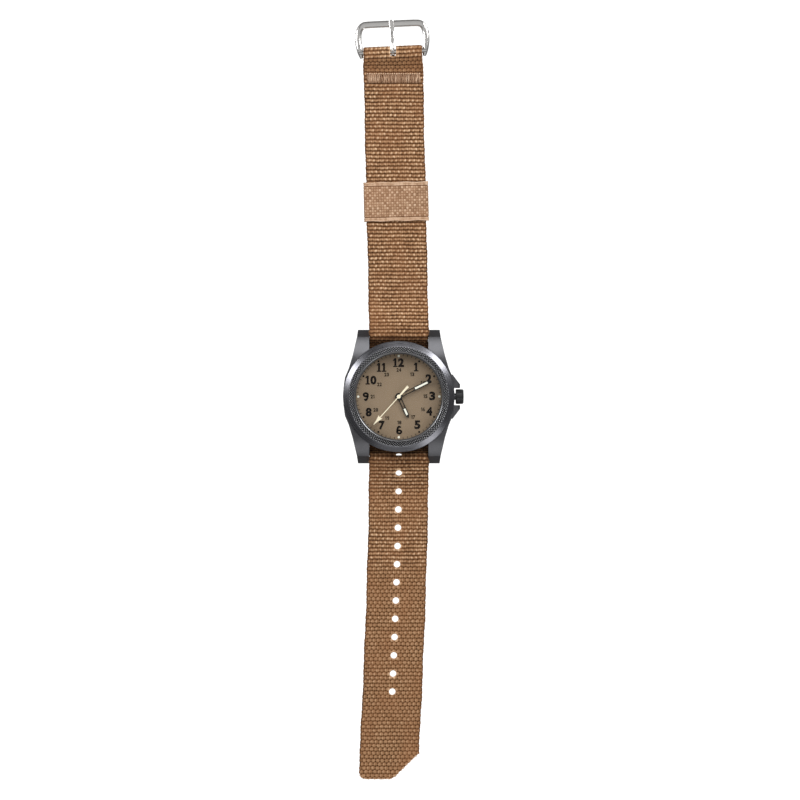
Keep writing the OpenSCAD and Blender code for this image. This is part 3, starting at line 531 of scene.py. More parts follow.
def webbing(name, path, s0, s1, sign, centre_x, ribbed, cuts=(), skewed=False):
    """A length of the strap from s0 to s1 along path, as one closed woven solid.

    sign is 1 towards 12 o'clock and -1 towards 6; skewed is the folded end, which lies askew with the buckle.
    """
    i0, i1 = round(s0 / RIB), round(s1 / RIB)
    s_row = np.append(np.concatenate([(i + FRACTIONS) * RIB for i in range(i0, i1)]), i1 * RIB)
    s_row = np.minimum(s_row, path.s[-1])
    U, S = np.meshgrid(U_STEPS, s_row)
    rows, cols = U.shape
    kept = np.ones((rows - 1, cols - 1), bool)
    uc = (U[1:, 1:] + U[:-1, :-1]) / 2
    sc = (S[1:, 1:] + S[:-1, :-1]) / 2
    near = np.full(U.shape, FAR)
    for cut in cuts:
        gone = cut.dist(uc, sc) < 0
        kept &= ~gone
        rim = touched(gone) & touched(~gone)
        U[rim], S[rim] = cut.onto(U[rim], S[rim])
        near = np.minimum(near, np.abs(cut.dist(U, S)))
    y, z, ny, nz = path.at(S)
    rb = ribbed(y) if callable(ribbed) else np.full(U.shape, ribbed)
    sides = []
    for face in (0, 1):
        depth, tone = weave(U + face * YARN * 0.5, S + face * RIB * 0.4, rb)
        melt = 1 - smoothstep(near, 0.0, 0.45)
        depth = depth * (1 - melt) + 0.09 * melt
        depth = depth + 0.16 * smoothstep(np.abs(U), HALF_W - 0.5, HALF_W)
        h = (STRAP_T / 2 + 0.03 - depth) * (1 if face == 0 else -1)
        rim_light = 0.2 * (1 - smoothstep(near, 0.3, 1.0))
        # painted shade: the lower a point lies between ribs and yarns, the darker it is painted
        lift = np.clip(1 - depth / DEEP - 0.17 * (1 - rb) + rim_light, 0, 1) * (1 - melt) + 0.8 * melt
        # painted shade: darker beside the case, where the case shades the strap
        tone = tone - 0.9 * (1 - smoothstep(np.abs(y), 24.0, 29.0))
        half = np.sign(U)
        wobble = 0.10 * np.sin(S * 0.21 + 1.3 * half) + 0.06 * np.sin(S * 0.63)
        wobble += 0.05 * np.sin(S * 2.1 + 2 * half)
        out = U + half * smoothstep(np.abs(U), HALF_W - 1.2, HALF_W) * wobble
        if skewed:
            out = out * (1 - 0.015 * smoothstep(y, 124.5, 127.5))
        x, yy = centre_x(np.abs(y)) + out, y + ny * h
        zz = z + nz * h
        if skewed:
            yy = yy + (x - BUCKLE_X) * math.tan(SKEW) * smoothstep(y, 123, 129.5)
            tone = tone - 0.65 * smoothstep(y, 121.6, 122.4) * (1 - smoothstep(y, 127.4, 128.6))
        sides.append((np.stack([x, sign * yy, zz], -1), lift, tone))
    verts = [side[0].reshape(-1, 3) for side in sides]
    lifts = [side[1].ravel() for side in sides]
    tones = [side[2].ravel() for side in sides]
    uvs = [np.stack([U.ravel(), S.ravel()], 1)] * 2
    n = rows * cols
    idx = np.arange(n).reshape(rows, cols)
    corners = idx[:-1, :-1], idx[:-1, 1:], idx[1:, 1:], idx[1:, :-1]
    top = np.stack([c[kept] for c in corners], 1)
    faces = [top, top[:, ::-1] + n]
    # the selvedges: three bulging rows of vertices down each side
    rings, ends = {}, []
    for col, edge_sign in ((0, -1), (cols - 1, 1)):
        upper, lower = sides[0][0][:, col], sides[1][0][:, col]
        rib = np.floor(s_row / RIB)
        swell = np.sqrt(np.clip(1 - np.abs(2 * ((s_row / RIB) % 1) - 1) ** 2.4, 0, 1))
        bulge = 0.10 + 0.17 * swell + 0.05 * hashed(rib, 3 + edge_sign)
        ring = []
        for f, k in ((0.30, 0.8), (0.5, 1.0), (0.70, 0.8)):
            v = upper * (1 - f) + lower * f
            v[:, 0] += edge_sign * bulge * k
            ring.append(v)
        base = sum(len(v) for v in verts)
        verts += ring
        for f in range(3):
            # painted shade: each selvedge bulge is painted lighter at its crest and darker between
            lifts.append(np.clip(0.25 + 0.65 * swell, 0, 1))
            tones.append(2 * hashed(rib, 11 + f) - 1)
            uvs.append(np.stack([np.full(rows, edge_sign * (HALF_W + 0.3 * f)), s_row], 1))
        chain = [idx[:, col]] + [base + f * rows + np.arange(rows) for f in range(3)] + [idx[:, col] + n]
        live = kept[:, 0 if col == 0 else -1]
        rings[edge_sign] = base + np.arange(3)[:, None] * rows + np.arange(rows)[None]
        for r in np.flatnonzero(live[:-1] & ~live[1:]) + 1:
            end = [idx[r, col], *rings[edge_sign][:, r], idx[r, col] + n]
            ends.append(end if edge_sign > 0 else end[::-1])
        for p, q in zip(chain[:-1], chain[1:]):
            quad = np.stack([p[:-1], p[1:], q[1:], q[:-1]], 1)[live]
            faces.append(quad if edge_sign < 0 else quad[:, ::-1])
    # walls between the two faces wherever a kept quad meets a missing one
    full = np.pad(kept, 1, constant_values=True)
    for dr, dc, p, q in ((-1, 0, 0, 1), (1, 0, 2, 3), (0, -1, 3, 0), (0, 1, 1, 2)):
        open_side = kept & ~full[1 + dr:rows + dr, 1 + dc:cols + dc]
        p1, q1 = corners[p][open_side], corners[q][open_side]
        faces.append(np.stack([q1, p1, p1 + n, q1 + n], 1))
    V = np.concatenate(verts) * MM
    F = np.concatenate(faces)
    # the two ends
    if kept[0].all():
        ends.append([*idx[0][::-1], *rings[-1][:, 0], *(idx[0] + n), *rings[1][::-1, 0]])
    if kept[-1].all():
        ends.append([*idx[-1], *rings[1][:, -1], *(idx[-1][::-1] + n), *rings[-1][::-1, -1]])
    lift, tone, uv = np.concatenate(lifts), np.concatenate(tones), np.concatenate(uvs)
    used = np.zeros(len(V), bool)
    used[F.ravel()] = True
    remap = np.cumsum(used) - 1
    F = remap[F]
    if sign < 0:
        F = F[:, ::-1]
    faces_out = F.tolist() + [[int(remap[i]) for i in (e if sign > 0 else e[::-1])] for e in ends]
    obj = new_mesh(name, V[used], faces_out, strap_mat)
    add_cloth(obj, lift[used], tone[used], uv[used])
    return obj


strap_mat = woven("webbing_weave", (0.030, 0.009, 0.002), (0.255, 0.128, 0.056), (0.47, 0.285, 0.160),
                  (0.72, 0.50, 0.32))


def strap_side(tag, path, hinges, breaks, sign, centre_x, ribbed, cuts, skewed=False):
    """Lengths of webbing that each reach across one hinge, and a last one that rides on the end piece."""
    marks = [0.0] + [path.s_at(y) for y in breaks] + [path.s[-1] + RIB / 2]
    last = len(hinges)
    for k, (s0, s1) in enumerate(zip(marks, marks[1:])):
        mine = [c for c in cuts if not (isinstance(c, Cut) and (c.b + c.r < s0 or c.a - c.r > s1))]
        obj = webbing(f"webbing_{tag}_{k + 1}", path, s0, s1, sign, centre_x, ribbed, mine,
                      skewed and k == last)
        if k < last:
            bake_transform(obj)
            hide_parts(f"strap_{tag}_{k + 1}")
        else:
            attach(obj, f"strap_{tag}_6")


def ribbed_buckle(y):
    """How ribbed the strap is, from 0, flat, to 1: flat on the fold beyond the stitching."""
    return 1.0 - 0.75 * smoothstep(y, 121.5, 122.5) * (1 - smoothstep(y, 127.4, 128.2))


def ribbed_tail(y):
    r = 1.0 - 0.55 * smoothstep(y, 33, 38) + 0.5 * smoothstep(y, 49, 53) - 0.8 * smoothstep(y, 60, 67)
    return np.clip(r + 0.12 * np.sin(y * 0.31), 0, 1)


# the tongue's slot ends on the upper side at SLOT_Y and runs round the fold
SLOT_Y, SLOT_R = 128.2, 1.12
slot = Cut(0.1, buckle_path.s_at(SLOT_Y) + SLOT_R, buckle_path.s[-1] - 9.0, SLOT_R)
strap_side("buckle", buckle_path, BUCKLE_HINGES, [31, 44.75, 57.25, 73.75, 92.5, 106], 1, buckle_side_x,
           ribbed_buckle, [slot], True)
hole_places = [tail_path.s_at(FIRST_HOLE + HOLE_PITCH * i) for i in range(HOLES)]
holes = [Cut(0.0, at, at, HOLE_R) for at in hole_places]
strap_side("tail", tail_path, TAIL_HINGES, [32.24, 52.9, 73.5, 94.2, 114.9, 130], -1, tail_side_x,
           ribbed_tail, holes + [EndCut(tail_path.s_at(TAIL_END))])
# one more hole is half seen at the 6 o'clock bar
lug_hole_s = centre_path.s_at(-BAR[0] + WRAP_R * math.cos(math.radians(63))) + 0.7
centre = webbing("webbing_centre", centre_path, 0, centre_path.s[-1], 1, lambda y: 0 * y, 0.8,
                 [Cut(0, lug_hole_s, lug_hole_s, HOLE_R)])
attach(centre, "case")
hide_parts("strap_centre")

# --- keeper loop
KEEPER_Y = 73.65
KEEPER_W, KEEPER_LEN, KEEPER_H, KEEPER_T = 24.5, 14.7, 2.5, 0.55
KEEPER_ROW = 0.98
KEEPER_RIM = 1.4


def rounded_rect(w, h, r, n):
    """n points evenly round a rounded rectangle, their outward normals, and how far round each lies."""
    pts, nor = [], []
    for sx, sy, a0 in ((1, -1, -90), (1, 1, 0), (-1, 1, 90), (-1, -1, 180)):
        for a in np.radians(np.linspace(a0, a0 + 90, 9)):
            pts.append((sx * (w / 2 - r) + r * math.cos(a), sy * (h / 2 - r) + r * math.sin(a)))
            nor.append((math.cos(a), math.sin(a)))
    pts, nor = np.array(pts + pts[:1]), np.array(nor + nor[:1])
    s = lengths(pts)
    t = np.arange(n) * s[-1] / n
    p = np.stack([np.interp(t, s, pts[:, i]) for i in (0, 1)], 1)
    q = np.stack([np.interp(t, s, nor[:, i]) for i in (0, 1)], 1)
    return p, q / np.linalg.norm(q, axis=1)[:, None], t


def keeper_loop():
    n_loop, n_row = 336, 91
    outer, nor, t = rounded_rect(KEEPER_W, KEEPER_H, 1.0, n_loop)
    inner = rounded_rect(KEEPER_W - 2 * KEEPER_T, KEEPER_H - 2 * KEEPER_T, 0.5, n_loop)[0]
    y = np.linspace(-KEEPER_LEN / 2, KEEPER_LEN / 2, n_row)
    T, Y = np.meshgrid(t, y)
    pitch = t[-1] * n_loop / (n_loop - 1) / 56
    col = np.abs(np.sin(np.pi * T / pitch)) ** 0.7
    row = np.abs(np.sin(np.pi * Y / KEEPER_ROW)) ** 0.7
    over = ((np.floor(T / pitch) + np.floor(Y / KEEPER_ROW)) % 2 == 0).astype(float)
    depth = 0.10 * (1 - col * row) + 0.05 * (1 - over)
    inset = KEEPER_LEN / 2 - np.abs(Y)
    band = inset < KEEPER_RIM
    twist = 0.65 + 0.35 * np.abs(np.sin(np.pi * T / (pitch * 1.2)))
    cord = np.abs(np.cos(np.pi * inset / KEEPER_RIM)) ** 0.7 * twist
    depth = np.where(band, 0.10 * (1 - cord), depth)
    depth = depth + 0.16 * np.exp(-((inset - 1.45) / 0.16) ** 2)
    # painted shade: the keeper's weave is painted darker where it lies deeper
    lift = np.clip(1 - depth / 0.26, 0, 1) + np.where(band, 0.12, 0)
    tone = 2 * hashed(np.floor(T / pitch), np.floor(Y / KEEPER_ROW), 5) - 1
    flare = 0.12 * np.sin(T * 0.7) * smoothstep(np.abs(Y), KEEPER_LEN / 2 - 2, KEEPER_LEN / 2)
    flared = Y + flare * np.sign(Y)
    o = outer[None] + nor[None] * (0.03 - depth)[..., None]
    ii = np.broadcast_to(inner[None], (n_row, n_loop, 2))
    v = np.concatenate([np.stack([w[..., 0], flared, w[..., 1]], -1).reshape(-1, 3) for w in (o, ii)])
    n = n_row * n_loop
    idx = np.arange(n).reshape(n_row, n_loop)
    nxt = np.roll(idx, -1, 1)
    outside = np.stack([idx[:-1], idx[1:], nxt[1:], nxt[:-1]], -1).reshape(-1, 4)
    faces = [outside, outside[:, ::-1] + n,
             np.stack([idx[0], nxt[0], nxt[0] + n, idx[0] + n], -1),
             np.stack([nxt[-1], idx[-1], idx[-1] + n, nxt[-1] + n], -1)]
    x, y = turned(v[:, 0], v[:, 1], TILT)
    v = np.stack([x + buckle_side_x(KEEPER_Y), y + KEEPER_Y, v[:, 2] + KEEPER_H / 2], 1) * MM
    obj = new_mesh("keeper_loop", v, np.concatenate(faces).tolist(), keeper_mat)
    uv = np.stack([Y.ravel(), T.ravel()], 1)
    add_cloth(obj, np.r_[lift.ravel(), np.full(n, 0.4)], np.r_[tone.ravel(), np.zeros(n)], np.r_[uv, uv])
    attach(obj, "keeper")
    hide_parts("keeper")


keeper_mat = woven("keeper_weave", (0.060, 0.024, 0.009), (0.29, 0.165, 0.092), (0.44, 0.28, 0.175),
                   (0.60, 0.42, 0.29))
keeper_loop()


# --- stitching over the folded end, and the cut tip
thread_mat = woven("thread_twist", (0.045, 0.018, 0.008), (0.195, 0.104, 0.056), (0.36, 0.215, 0.130),
                   (0.75, 0.54, 0.38), 0.6)
STITCHES, RETURNS, HAIRS = 58, 24, 190


def threads(name, runs, radius, mat, sides, bright):
    """Each run of points, in millimetres, as a thread; bright holds the numbers of the lighter ones."""
    parts, lifts, tones, uvs = [], [], [], []
    for k, pts in enumerate(runs):
        pts = np.asarray(pts) * MM
        r = radius * MM * (0.85 + 0.3 * hashed(k, 1))
        v, f = tube(pts, np.full(len(pts), r), sides, 0.8)
        parts.append((v, f))
        # painted shade: each thread is painted lighter along its top and darker underneath
        height = (v[:, 2] - v[:, 2].min()) / max(np.ptp(v[:, 2]), 1e-9)
        lifts.append(0.35 + 0.5 * height + 0.35 * (k in bright))
        tones.append(np.full(len(v), 2 * hashed(k, 2) - 1))
        turn, along = np.arange(sides) * 0.2, np.arange(len(pts)) * 0.3
        uvs.append(np.stack([np.tile(turn, len(pts)), np.repeat(along, sides)], 1))
    verts, faces = merged(parts)
    obj = new_mesh(name, verts, faces, mat)
    add_cloth(obj, np.concatenate(lifts), np.concatenate(tones), np.concatenate(uvs))
    return obj


def stitch_runs():
    runs = []
    top = 2 * STRAP_T + 0.05
    x0 = buckle_side_x(120)
    for k in range(STITCHES):
        u = (k + 0.5) / STITCHES * 20.2 - 10.1
        bow = 0.16 * math.sin(k * 1.9) + 0.12 * math.sin(k * 0.7 + 1)
        ts = np.linspace(0, 1, 11)
        x = x0 + u + bow * np.sin(np.pi * ts * 1.6 + k) + 0.16 * (ts - 0.5) * (1 if k % 2 else -1)
        y = 118.25 + 3.5 * ts
        z = top - 0.13 + 0.24 * np.sin(np.pi * ts) ** 0.5
        runs.append(np.stack([x, y, z], 1))
    # the needle's return: a row of short loops along the upper edge
    for k in range(RETURNS):
        u = (k + 0.5) / RETURNS * 20.4 - 10.2
        ts = np.linspace(-1, 1, 7)
        y = 121.85 + 0.05 * math.sin(k * 2.3) + 0.1 * ts
        z = top + 0.10 * np.sqrt(np.clip(1 - 0.8 * ts ** 2, 0, 1)) - 0.02
        runs.append(np.stack([x0 + u + 0.2 * ts, y, z], 1))
    return runs


stitches = threads("fold_bartack", stitch_runs(), 0.19, thread_mat, 6, range(STITCHES, STITCHES + RETURNS))
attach(stitches, "strap_buckle_6")
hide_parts("fold_stitching")


def fray_runs():
    runs = []
    end = EndCut(TAIL_END)
    for k in range(HAIRS):
        u = RNG.uniform(-10.7, 10.6)
        y = float(end.limit(np.array([u]))[0])
        x = float(tail_side_x(np.array([y]))[0]) + u
        length = RNG.uniform(0.08, 0.42) + (0.35 if RNG.random() < 0.06 else 0)
        if u < 1.5:
            length *= 0.7
        z = RNG.uniform(0.15, 1.0)
        slant = 0.68 if u > 1.5 else 0.0
        side = RNG.normal(0, 0.45)
        ts = np.linspace(0, 1, 5)
        dx = ts * length * (slant + side) + 0.1 * np.sin(3 * ts + k)
        dy = ts * length * (1 - 0.3 * slant)
        runs.append(np.stack([x + dx, -(y - 0.3 + dy), np.clip(z - 0.3 * ts ** 2 * length, 0.08, 1.1)], 1))
    return runs


fray = threads("tip_fray", fray_runs(), 0.09, strap_mat, 5, range(HAIRS))
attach(fray, "strap_tail_6")


# --- bezel with its knurled ring
TEETH = 112
KNURL_PITCH, KNURL_DEPTH = 0.96, 0.42


def triangle(v):
    """Straight lines up from 0 to 1 and back down over each whole number."""
    return 1 - np.abs(2 * (v - np.floor(v)) - 1)


def bezel_ring():
    """A turned ring, as (radius, height) in millimetres, with crossed grooves on its inner slope."""
    cols = TEETH * 6
    theta = np.arange(cols) * 2 * np.pi / cols
    outer_side = [(17.15, 9.15), (20.8, 9.15), (21.0, 9.3), (21.0, 9.68), (20.86, 9.87), (20.79, 9.915),
                  (20.2, 10.29), (19.4, 10.79), (19.02, 11.028), (18.95, 11.07), (18.86, 11.10),
                  (18.80, 11.06), (18.76, 10.98)]
    foot_edge = np.array([18.66, 11.33])
    inner_side = [(16.90, 12.28), (16.80, 12.30), (16.74, 12.28), (16.70, 12.25), (16.50, 12.10),
                  (16.47, 12.06), (16.45, 12.0), (16.45, 10.35), (17.15, 10.35)]
    slope = np.array([16.98, 12.24]) - foot_edge
    length = np.linalg.norm(slope)
    normal = np.abs(slope[::-1]) / length
    phase = theta * TEETH / (2 * np.pi)
    rings = [(r, z, 0.5) for r, z in outer_side]
    for f in np.linspace(0, 1, 17):
        v = f * length / KNURL_PITCH
        h = np.minimum(np.minimum(triangle(phase + v), triangle(phase - v)), 0.8) / 0.8
        drop = KNURL_DEPTH * (1 - h) * min(1, (1 - f) / 0.08)
        tooth = 0.40 * (triangle(phase) - 0.5) * (1 - f / 0.07) if f < 0.07 else 0
        r, z = foot_edge + slope * f
        rings.append((r + tooth - normal[0] * drop, z - normal[1] * drop, h))
    rings += [(r, z, 0.5) for r, z in inner_side]
    r, z, crest = (np.array([np.broadcast_to(ring[i], cols) for ring in rings]) for i in range(3))
    verts = np.stack([r * np.sin(theta), r * np.cos(theta), z], -1).reshape(-1, 3) * MM
    idx = np.arange(len(verts)).reshape(-1, cols)
    up = np.roll(idx, -1, 0)
    faces = np.stack([idx, np.roll(idx, -1, 1), np.roll(up, -1, 1), up], -1).reshape(-1, 4)
    obj = new_mesh("bezel_knurled", verts, faces.tolist(), bezel_mat)
    # the crest height, which bezel_material paints as shade in the knurl's grooves
    add_attr(obj, "crest", crest.ravel())
    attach(obj, "case")
    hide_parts("bezel")


def bezel_material():
    """Brushed like the case outside the knurl; in the knurl, painted shade darkens its grooves against
    lighter crests; worn bright along its inner edge.
    """
    s = Shader("bezel_brushed", 0.33, 1.0)
    vec = s.polar()
    lines = s.noise(9000, 3, 0.6, s.scaled(vec, (1, 0.03, 1)))
    cloud = s.noise(300, 3, 0.6)
    radius = s.node("ShaderNodeSeparateXYZ", {0: vec}).outputs[0]
    knurl = s.span(radius, 1.0, 0.0, 0.01868, 0.01872)
    base = s.tint((0.155, 0.155, 0.17), lines, 0.3, 0.3, 0.7, (0.27, 0.27, 0.29))
    base = s.tint(base, cloud, 0.35, 0.35, 0.75, (0.10, 0.10, 0.11))
    # painted shade: the knurl's grooves are painted near black, its crests lighter
    dark = s.tint((0.006, 0.006, 0.007), s.attr("crest"), 1, 0.3, 0.85, (0.30, 0.30, 0.31))
    worn = s.span(radius, 0.0, 1.0, 0.01672, 0.01676)
    dark = s.mix(worn, (0.34, 0.34, 0.35), dark)
    rough = s.m("ADD", s.span(lines, 0.24, 0.33, 0.3, 0.7), s.m("MULTIPLY", knurl, 0.04))
    return s.finished(s.mix(knurl, base, dark), rough, s.bump(lines, 0.10, 0.00002, s.rounded(0.00006)))


bezel_mat = bezel_material()
bezel_ring()


# --- buckle
FRAME_TILT = math.radians(-6.62)
REST_Y = 10.75


def at_buckle(x, y, z):
    """Vertices from millimetres about the bar, with +Y along the frame, to where the buckle lies."""
    x, y = turned(x, y, SKEW)
    return np.stack([x + BUCKLE_X, y + BUCKLE[0], z + BUCKLE[1]], -1).reshape(-1, 3) * MM


def squared(v, power):
    """Rounds a sine or cosine off towards a square as power falls from 1."""
    return np.sign(v) * np.abs(v) ** power


def catmull(points, per):
    """A smooth curve through points, with per steps between each two."""
    p = np.array(points, float)
    p = np.vstack([2 * p[0] - p[1], p, 2 * p[-1] - p[-2]])
    out = []
    for i in range(1, len(p) - 2):
        for t in np.arange(per) / per:
            a, b, c, d = p[i - 1:i + 3]
            square, cube = 2 * a - 5 * b + 4 * c - d, 3 * b - a - 3 * c + d
            out.append(0.5 * (2 * b + (c - a) * t + square * t ** 2 + cube * t ** 3))
    out.append(p[-2])
    return np.array(out)


def buckle_wire():
    """The frame: a wire, squarer where the tongue rests. A point is across, along, and half the width."""
    half = [(11.85, -2.0, 0.6), (12.1, -0.9, 0.85), (12.4, 0.6, 1.1), (12.65, 2.6, 1.25), (12.85, 4.9, 1.25),
            (12.65, 7.3, 1.25), (11.95, 9.25, 1.25), (10.75, 10.45, 1.28), (8.9, 10.72, 1.3),
            (5.0, REST_Y, 1.3), (1.5, REST_Y, 1.3)]
    line = catmull(half + [(-x, y, r) for x, y, r in half[::-1]], 8)
    d = directions(line[:, :2])
    flatness = smoothstep(line[:, 1:2], 9.0, 10.6)
    sides = 28
    cu, su = (squared(v, 1.0 - 0.42 * flatness) for v in around(sides))
    w = np.clip(line[:, 2:], 0.3, 1.3)
    x = line[:, :1] + d[:, 1:] * cu * w
    y, z = line[:, 1:2] - d[:, :1] * cu * w, su * np.minimum(w * 0.84, 1.0) * (1 - 0.06 * flatness)
    y, z = turned(y, z, FRAME_TILT)
    obj = new_mesh("buckle_wire", at_buckle(x, y, z), skin(len(line), sides, True), steel_mat)
    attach(obj, "buckle_frame")
    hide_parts("buckle_frame")
    return obj


def tongue():
    """A flat prong rolled round the bar: pinched where it leaves the roll, resting on the frame."""
    t = 0.7
    rest_z = math.cos(FRAME_TILT) + REST_Y * math.sin(FRAME_TILT) + t / 2 + 0.05
    r = 1.05 + t / 2
    roll = [(r * math.cos(a), r * math.sin(a), 1.25) for a in np.radians(np.linspace(455, 128, 26))[::-1]]
    # each point is along, up, and the width
    out = [(0.9, r - 0.02, 0.95), (2.0, 1.28, 0.62), (3.2, 1.15, 0.66), (4.6, 1.0, 1.35), (6.2, 0.75, 1.70),
           (7.8, 0.40, 1.66), (9.3, rest_z + 0.12, 1.80), (REST_Y, rest_z, 1.86), (11.6, rest_z - 0.06, 1.84),
           (12.1, rest_z - 0.14, 1.6)]
    line = np.vstack([roll[:-1], catmull([roll[-1]] + out, 6)])
    d = directions(line[:, :2])
    sides = 20
    c, s = around(sides)
    cu, su = squared(c, 0.75), squared(s, 0.8)
    x = line[:, 2:] / 2 * cu
    y = line[:, :1] - d[:, 1:] * su * t / 2
    crease = smoothstep(line[:, :1], 8.6, 10.0) * np.exp(-(x / 0.16) ** 2) * (su > 0)
    z = line[:, 1:2] + d[:, :1] * su * t / 2 - 0.16 * crease
    obj = new_mesh("tongue_prong", at_buckle(x, y, z), skin(len(line), sides), steel_mat)
    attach(obj, "buckle_tongue")
    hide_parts("buckle_tongue")
    return obj


def steel_material():
    s = Shader("buckle_satin", 0.2, 1.0)
    fine = s.noise(2600, 3, 0.6)
    cloud = s.noise(380, 3, 0.55)
    scratch = s.noise(7000, 2, 0.6, s.scaled(s.coords(), (0.06, 1, 1)))
    c = s.tint((0.96, 0.94, 0.915), cloud, 0.35, 0.35, 0.75, (0.80, 0.78, 0.755))
    c = s.tint(c, scratch, 0.18, 0.55, 0.75, (0.93, 0.92, 0.9))
    rough = s.m("ADD", s.span(fine, 0.15, 0.27, 0.3, 0.7), s.span(cloud, -0.03, 0.05))
    return s.finished(c, rough, s.bump(scratch, 0.08, 0.00002))


steel_mat = steel_material()
wire = buckle_wire()
prong = tongue()


# --- dial print
PRINT_Z = 7.51
PRINT_T = 0.05


def digit(ch, w, h, weight):
    """Verts and faces of one figure, w by h millimetres about its middle, standing PRINT_T high."""
    cu = bpy.data.curves.new("figure", "FONT")
    cu.body = ch
    cu.offset = weight
    cu.extrude = 0.5
    cu.resolution_u = 6
    obj = bpy.data.objects.new("figure", cu)
    scene.collection.objects.link(obj)
    bpy.context.view_layer.update()
    me = obj.evaluated_get(bpy.context.evaluated_depsgraph_get()).to_mesh()
    v = np.array([p.co for p in me.vertices], float)
    f = [tuple(p.vertices) for p in me.polygons]
    bpy.data.objects.remove(obj)
    bpy.data.curves.remove(cu)
    lo, hi = v.min(0), v.max(0)
    v = (v - (lo + hi) / 2) / (hi - lo) * np.array([w, h, PRINT_T])
    return v, f


HOUR_H, SMALL_H = 3.3, 1.4
TICK_W, TICK_H, TICK_AT = 0.2, 0.8, 15.75
DOT_R, DOT_AT = 0.38, 15.35


def plate(ring):
    """A plate PRINT_T thick with this outline, which runs anticlockwise."""
    n = len(ring)
    v = np.array([(x, y, z) for z in (-PRINT_T / 2, PRINT_T / 2) for x, y in ring])
    walls = [(k, (k + 1) % n, n + (k + 1) % n, n + k) for k in range(n)]
    return v, [tuple(range(n))[::-1], tuple(range(n, 2 * n))] + walls


def one(w, h, foot):
    """The figure 1: a stem with a flag, and a foot under the large ones."""
    stem = 0.22 * h if foot else 0.2 * h
    a, b = (-stem / 2, stem / 2) if foot else (-stem / 4, 0.75 * stem)
    y0, y1 = -h / 2, h / 2
    flag = [(b, y1), (a + 0.02, y1), (-w / 2, y1 - 0.20 * h), (-w / 2, y1 - 0.33 * h), (a, y1 - 0.24 * h)]
    if not foot:
        return plate([(b, y0)] + flag + [(a, y0)])
    t = y0 + 0.13 * h
    return plate([(w / 2, y0), (w / 2, t), (b, t)] + flag + [(a, t), (-w / 2, t), (-w / 2, y0)])


def nine(w, h, t):
    """The figure 9, drawn with a stroke t wide: a ring, and a hook that runs down its right side."""
    rx, ry, cy = (w - t) / 2, 0.29 * h - t / 2, 0.21 * h
    a = np.arange(24) * math.pi / 12
    ring = ribbon(np.stack([rx * np.cos(a), cy + ry * np.sin(a)], 1), t, True)
    a = np.radians(np.linspace(4, -128, 18))
    hook = ribbon(np.stack([rx * np.cos(a), cy + (0.71 * h - t / 2) * np.sin(a)], 1), t)
    return merged([ring, hook])


def ribbon(p, width, closed=False):
    """A flat line through points in the dial's plane."""
    n = len(p)
    d = directions(np.vstack([p[-1], p, p[0]]))[1:-1] if closed else directions(p)
    nor = np.stack([-d[:, 1], d[:, 0]], 1) * width / 2
    levels = -PRINT_T / 2, PRINT_T / 2
    v = np.concatenate([np.c_[q, np.full(n, z)] for z in levels for q in (p + nor, p - nor)])
    f = []
    for i in range(n if closed else n - 1):
        j = (i + 1) % n
        f += [(3 * n + i, 3 * n + j, 2 * n + j, 2 * n + i), (i, j, n + j, n + i),
              (j, i, 2 * n + i, 2 * n + j), (n + i, n + j, 3 * n + j, 3 * n + i)]
    if not closed:
        f += [(0, n, 3 * n, 2 * n), (2 * n - 1, n - 1, 3 * n - 1, 4 * n - 1)]
    return v, f


def number(text, x, y, h, weight, wide):
    """A condensed number h high about (x, y), in millimetres. The large ones have a foot under the 1."""
    large = h == HOUR_H
    parts = []
    widths = [h * (0.76 * wide if c == "1" else wide) for c in text]
    gap = h * 0.05
    at = -(sum(widths) + gap * (len(text) - 1)) / 2
    for ch, w in zip(text, widths):
        if ch == "1":
            v, f = one(w, h, large)
        elif ch in "69":
            v, f = nine(w, h, (0.22 if large else 0.17) * h)
        else:
            v, f = digit(ch, w, h, weight)
        turn = -1 if ch == "6" else 1
        parts.append((v * np.array([turn, turn, 1]) + np.array([at + w / 2, 0, 0]), f))
        at += w + gap
    verts, faces = merged(parts)
    return verts + np.array([x, y, 0]), faces


def dial_print():
    """The numbers, each at its place in millimetres from the middle, and a dot or a tick for each minute."""
    hours = {12: (-0.1, 12.8), 1: (6.55, 11.15), 2: (11.2, 6.8), 3: (12.6, 0.25), 4: (11.5, -5.55),
             5: (7.0, -10.6), 6: (0.15, -12.6), 7: (-6.4, -10.8), 8: (-11.35, -5.85), 9: (-12.45, 0.0),
             10: (-10.5, 6.2), 11: (-6.5, 11.0)}
    inner = {24: (0, 10.05), 13: (5.05, 8.4), 14: (9.0, 5.2), 15: (10.0, 0.15), 16: (9.1, -4.8),
             17: (5.4, -7.7), 18: (0.2, -9.75), 19: (-4.4, -8.1), 20: (-8.7, -5.0), 21: (-9.85, 0.0),
             22: (-7.3, 4.6), 23: (-4.6, 8.3)}
    parts = [number(str(k), x, y, HOUR_H, 0.05, 0.68) for k, (x, y) in hours.items()]
    parts += [number(str(k), x, y, SMALL_H, 0.04, 0.60) for k, (x, y) in inner.items()]
    dot = np.stack(around(16), 1) * DOT_R
    half_w, low, high = TICK_W / 2, TICK_AT - TICK_H / 2, TICK_AT + TICK_H / 2
    tick = [(-half_w, low), (half_w, low), (half_w, high), (-half_w, high)]
    for minute in range(60):
        a = -math.radians(minute * 6)
        if minute % 5:
            v, f = plate(tick)
            x, y = turned(v[:, 0], v[:, 1], a)
            parts.append((np.stack([x, y, v[:, 2]], 1), f))
        elif minute % 15:  # the quarters have a pip of the CAD model instead
            parts.append(plate(dot + np.array(turned(0, DOT_AT, a))))
    verts, faces = merged(parts)
    obj = new_mesh("dial_print", (verts + np.array([0, 0, PRINT_Z])) * MM, faces, print_mat, smooth=False)
    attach(obj, "case")


print_mat = plain("dial_print_ink", (0.008, 0.006, 0.005), 0.8, grain=0.3, bump=0.1, scale=6000,
                  Specular_IOR_Level=0.08)
dial_print()


